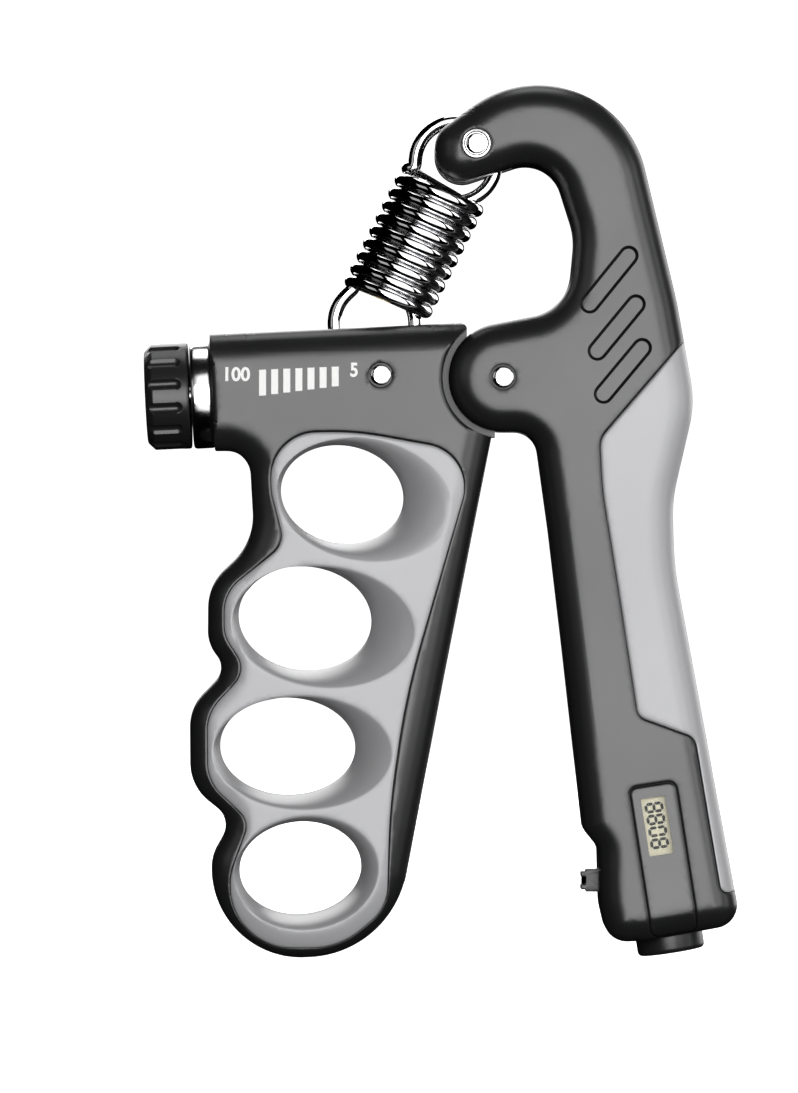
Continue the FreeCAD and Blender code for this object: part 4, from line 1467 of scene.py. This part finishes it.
@dataclass
class ForceKnob:
    """The fluted knob that sets the force."""

    radius: float = 10.4
    outer: float = -13.2
    inner: float = -4.6
    flutes: int = 14
    flute_radius: float = 1.15
    flute_end: float = -7.1

    def fluted(self, turn: np.ndarray, run: np.ndarray, radius: np.ndarray) -> np.ndarray:
        """The radius where round-ended flutes cut into it, each a half round about a point off the rim.

        Args:
            turn: angle round the knob.
            run: distance along it.
            radius: the knob's radius without flutes.

        Returns:
            The new radius.
        """
        pitch = 2 * math.pi / self.flutes
        off = (np.mod(turn + 0.5 * pitch, pitch) - 0.5 * pitch) * self.radius
        past = np.maximum(0, run - self.flute_end)
        room = self.flute_radius ** 2 - off ** 2 - past ** 2
        cut = self.radius + 0.5 - np.sqrt(np.maximum(room, 0))
        return np.where(room > 0, np.minimum(radius, cut), radius)

    def build(self) -> None:
        """Make the knob."""
        side = [(run, self.radius) for run in np.linspace(self.outer + 1.5, self.flute_end + 1.4, 31)]
        profile = [(-12.5, 0), (-12.5, 3.0), (-12.5, 6.9), (-12.62, 7.15), (-13.05, 7.5), (-13.18, 7.75),
                   (self.outer, 8.1), (self.outer, 8.75), (-13.1, 9.0), (-12.4, 9.75), (-11.9, 10.28)]
        profile += side
        profile += [(-5.1, self.radius), (-4.8, 10.34), (-4.65, 10.2), (self.inner, 10.0), (self.inner, 0)]
        SCREW_AXIS.turned(profile, 420, shape=self.fluted).piece(
            "force_knob_fluted", "force_knob", ["force_knob"], KNOB_PLASTIC, True)


@dataclass
class Spring:
    """The tension spring: one close-wound wire with a loop at each end."""

    top: tuple = (-9.15, 42.55)
    low: tuple = (-25.1, 10.75)
    wire: float = 1.35
    coil: float = 8.0
    turns: int = 9
    pitch: float = 2.78
    around: int = 18

    def path(self) -> tuple:
        """The wire's middle line.

        A ring in the middle plane at the low end, a helix on the line between the rings' middles,
        and a ring at the top end, joined by smoothing over about two millimetres.

        Returns:
            The points, and the two ends and the middle of the coil's axis.
        """
        low, top = np.array(self.low), np.array(self.top)
        along = unit(top - low)
        across = np.array([-along[1], along[0]])
        spare = (np.linalg.norm(top - low) - self.turns * self.pitch) / 2
        turn = np.linspace(math.pi, math.pi + 2 * math.pi * self.turns, 90 * self.turns)
        lift = spare + self.pitch * (turn - math.pi) / (2 * math.pi)
        spot = low + lift[:, None] * along - (self.coil * np.cos(turn))[:, None] * across
        helix = np.stack([spot[:, 0], self.coil * np.sin(turn), spot[:, 1]], axis=1)
        foot = self.ring(low, across, along, np.linspace(-262, 38, 90))
        head = self.ring(top, across, along, np.linspace(-38, 262, 90))
        line = np.vstack([foot, helix, head])
        run = np.concatenate([[0], np.cumsum(np.linalg.norm(np.diff(line, axis=0), axis=1))])
        even = np.arange(0, run[-1], 0.28)
        line = np.stack([np.interp(even, run, line[:, k]) for k in range(3)], axis=1)
        weights = np.exp(-0.5 * (np.arange(-14, 15) * 0.28 / 1.1) ** 2)
        weights /= weights.sum()
        wide = np.pad(line, ((14, 14), (0, 0)), mode="edge")
        smooth = np.stack([np.convolve(wide[:, k], weights, "valid") for k in range(3)], axis=1)
        marks = [low + along * s for s in (spare, spare + self.turns * self.pitch / 2,
                                           spare + self.turns * self.pitch)]
        return smooth, marks

    def ring(self, middle: np.ndarray, across: np.ndarray, along: np.ndarray,
             degrees: np.ndarray) -> np.ndarray:
        """Part of an end loop, a circle in the middle plane.

        Args:
            middle: x and z of its middle.
            across: unit vector to the coil's left side.
            along: unit vector up the coil.
            degrees: angles, counted from across towards along.

        Returns:
            Points of the wire's middle line.
        """
        turn = np.radians(degrees)[:, None]
        spot = middle + self.coil * (np.cos(turn) * across + np.sin(turn) * along)
        return np.stack([spot[:, 0], np.zeros(len(spot)), spot[:, 1]], axis=1)

    def wound(self, line: np.ndarray) -> Solid:
        """Round wire along a line: rings square to it, and domed ends.

        Args:
            line: points of the wire's middle line.

        Returns:
            The closed wire.
        """
        ahead = unit(np.gradient(line, axis=0))
        side = unit(np.cross(ahead, (0.13, 0.97, 0.2)))
        over = np.cross(ahead, side)
        turn = np.linspace(0, 2 * math.pi, self.around, endpoint=False)
        out = np.cos(turn)[:, None] * side[:, None] + np.sin(turn)[:, None] * over[:, None]
        rings = line[:, None] + self.wire * out
        caps = []
        angles = np.radians([25, 50, 72])
        for at, sign in ((0, -1), (-1, 1)):
            caps.append([line[at] + sign * ahead[at] * self.wire * 0.5 * math.sin(a)
                         + self.wire * math.cos(a) * out[at] for a in angles])
        rings = np.concatenate([np.array(caps[0])[::-1], rings, np.array(caps[1])])
        points = rings.reshape(-1, 3)
        faces = grid_faces(len(rings), self.around).tolist()
        last = len(points) - self.around
        faces += [list(range(self.around)), list(range(last, last + self.around))[::-1]]
        return Solid(points, faces)

    def build(self) -> None:
        """Make the two halves of the spring, which meet in the coil's middle."""
        line, (foot, middle, head) = self.path()
        flat = line[:, [0, 2]]
        along = unit(head - foot)
        cut = len(line) // 2
        cut += int(np.argmin(np.abs((flat[cut - 60:cut + 60] - middle) @ along))) - 60
        lower = self.wound(line[:cut + 1]).piece("spring_lower_half", "", ["spring_lower"], CHROME, True)
        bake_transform(lower)
        upper = self.wound(line[cut:]).piece(
            "spring_upper_half", "", ["spring_upper", "spring_middle"], CHROME, True)
        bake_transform(upper)


# ---------------------------------------------------------------- carried-over frame nodes

KEPT = {
    "palm_shell_screws": BLACK_ZINC, "finger_frame_screws": BLACK_ZINC, "hinge_washers": STEEL,
    "pivot_bush": BRASS, "slider_nut": BRASS, "hook_pin": STEEL, "eye_bush": STEEL, "screw_clip": STEEL,
    "lead_screw": STEEL, "contact_strips": RUBBER, "circuit_board": BOARD, "coin_cell": PLAIN,
    "cell_clip": PLAIN, "count_switch": SWITCH_PLASTIC, "reset_switch": SWITCH_PLASTIC,
    "count_spring": PLAIN, "reset_spring": PLAIN}


def dress_kept_nodes() -> None:
    """Give each frame node that stays in sight, or inside, its finish."""
    for name, look in KEPT.items():
        node = frame["nodes"][name]
        if not node.material_slots:
            node.data.materials.append(None)
        for place in node.material_slots:
            place.material = look.material()
        log.info("%s keeps its frame shape, %s", name, look.name)


# ---------------------------------------------------------------- studio

@dataclass(frozen=True)
class Softbox:
    """A rectangular soft light: its name, place, power in watts, sides, and where it points."""

    name: str
    place: tuple
    power: float
    sides: tuple
    aim: tuple = (-0.04, 0, 0)

    def build(self) -> bpy.types.Object:
        """Make the light, turned to its aim and out of the camera's sight."""
        light = bpy.data.lights.new(self.name, "AREA")
        light.shape = "RECTANGLE"
        light.size, light.size_y = self.sides
        light.energy = self.power
        obj = bpy.data.objects.new(self.name, light)
        obj.location = self.place
        obj.rotation_euler = turn_toward(np.array(self.aim) - np.array(self.place))
        obj.visible_camera = False
        bpy.context.scene.collection.objects.link(obj)
        return obj


@dataclass
class Studio:
    """A pale sweep, soft light and the camera."""

    middle: tuple = (-0.0423, 0.0, 0.00295)
    away: float = 1.6
    height_seen: float = 0.2131
    floor: float = -0.0885                         # just under the finger handle when it is squeezed
    sweep_flat: float = 2.2
    sweep_round: float = 0.9
    surround: float = 0.26
    sensor: float = 24.0
    softboxes: tuple = (
        Softbox("front_softbox", (0.02, -1.75, 0.04), 23.5, (1.1, 1.1)),
        Softbox("right_softbox", (1.3, -0.55, 0.2), 2.2, (0.35, 0.9), (0.0, 0, 0)),
        Softbox("near_softbox", (0.30, -0.42, 0.06), 0.75, (0.2, 0.3), (0.02, 0, 0)),
        Softbox("left_softbox", (-1.3, -1.2, 0.4), 1.3, (0.9, 0.9)),
        Softbox("back_softbox", (-0.3, 1.5, 0.9), 14.0, (1.2, 1.2)),
        Softbox("rear_right_softbox", (1.3, 1.3, 0.5), 15.0, (1.4, 1.4)),
        Softbox("top_softbox", (0.0, 0.3, 1.6), 5.0, (0.8, 0.8)))
    metal_softbox: Softbox = Softbox("metal_softbox", (0.45, -1.45, 0.15), 22.0, (1.9, 2.6))

    def sweep(self) -> None:
        """The floor, a round sweep that curves up on every side: flat, a quarter round, then upright."""
        turn = np.linspace(0, math.pi / 2, 20)[1:]
        flat = [(reach, 0.0) for reach in np.linspace(0.05, self.sweep_flat, 14)]
        curve = [(self.sweep_flat + self.sweep_round * math.sin(t), self.sweep_round * (1 - math.cos(t)))
                 for t in turn]
        wall = [(self.sweep_flat + self.sweep_round, height) for height in (1.5, 2.5, 3.5)]
        line = np.array(flat + curve + wall)
        around = np.linspace(0, 2 * math.pi, 96, endpoint=False)
        height = np.repeat(line[:, 1:] + self.floor, len(around), axis=1)
        points = np.stack([line[:, :1] * np.cos(around), line[:, :1] * np.sin(around), height], axis=-1)
        faces = grid_faces(len(line), len(around)).tolist() + [list(range(len(around)))]
        mesh = bpy.data.meshes.new("studio_sweep")
        mesh.from_pydata(points.reshape(-1, 3).tolist(), [], faces)
        mesh.polygons.foreach_set("use_smooth", np.ones(len(mesh.polygons), bool))
        recipe = Recipe("sweep_paper")
        fibre = recipe.noise(300.0, 3.0)
        mesh.materials.append(recipe.finish(
            Base_Color=recipe.blend(fibre, (0.93, 0.93, 0.93), (0.96, 0.96, 0.96)), Roughness=0.9,
            Specular_IOR_Level=0.1, Emission_Color=(1.0, 1.0, 1.0, 1.0), Emission_Strength=0.85))
        obj = bpy.data.objects.new("studio_sweep", mesh)
        bpy.context.scene.collection.objects.link(obj)
        obj.visible_glossy = False
        obj.visible_diffuse = False

    def metal_light(self) -> None:
        """A wide dim panel that only the plated and polished metal sees."""
        panel = self.metal_softbox.build()
        bright = bpy.data.collections.new("bright_metal")
        for obj in bpy.context.scene.objects:
            looks = {place.material.name for place in obj.material_slots if place.material}
            if looks & {CHROME.name, COLLAR_METAL.name, STEEL.name}:
                bright.objects.link(obj)
        panel.light_linking.receiver_collection = bright

    def build(self) -> None:
        """Set up the sweep, lights, surroundings and camera."""
        self.sweep()
        for box in self.softboxes:
            box.build()
        self.metal_light()
        self.surroundings()
        self.camera()

    def surroundings(self) -> None:
        """A dim white surround that polished pieces don't mirror."""
        world = bpy.data.worlds.new("studio_surround")
        bpy.context.scene.world = world
        world.use_nodes = True
        ground = world.node_tree.nodes["Background"]
        ground.inputs["Color"].default_value = (1, 1, 1, 1)
        ground.inputs["Strength"].default_value = self.surround
        world.cycles_visibility.glossy = False

    def camera(self) -> None:
        """The camera, square to the front face, and the plain view transform."""
        scene = bpy.context.scene
        scene.view_settings.view_transform = "Standard"
        lens = bpy.data.cameras.new("studio_camera")
        lens.sensor_fit = "VERTICAL"
        lens.sensor_height = self.sensor
        lens.lens = self.sensor * self.away / self.height_seen
        lens.clip_start = 0.01
        lens.clip_end = 20.0
        camera = bpy.data.objects.new("studio_camera", lens)
        camera.location = (self.middle[0], -self.away - HALF * MM, self.middle[2])
        camera.rotation_euler = (math.pi / 2, 0, 0)
        scene.collection.objects.link(camera)
        scene.camera = camera


def turn_toward(way: np.ndarray) -> tuple:
    """The turn that points an object's -Z along a direction that isn't upright."""
    x, y, z = unit(np.asarray(way, float))
    return math.acos(-z), 0.0, math.atan2(-x, y)


def main() -> None:
    """Build everything in order, and note the object's box before and after."""
    logging.basicConfig(level=logging.INFO, format="%(name)s: %(message)s")
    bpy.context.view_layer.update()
    PalmHandle().build()
    FingerHandle().build()
    ForceKnob().build()
    Spring().build()
    dress_kept_nodes()
    Studio().build()


if __name__ == "__main__":
    main()
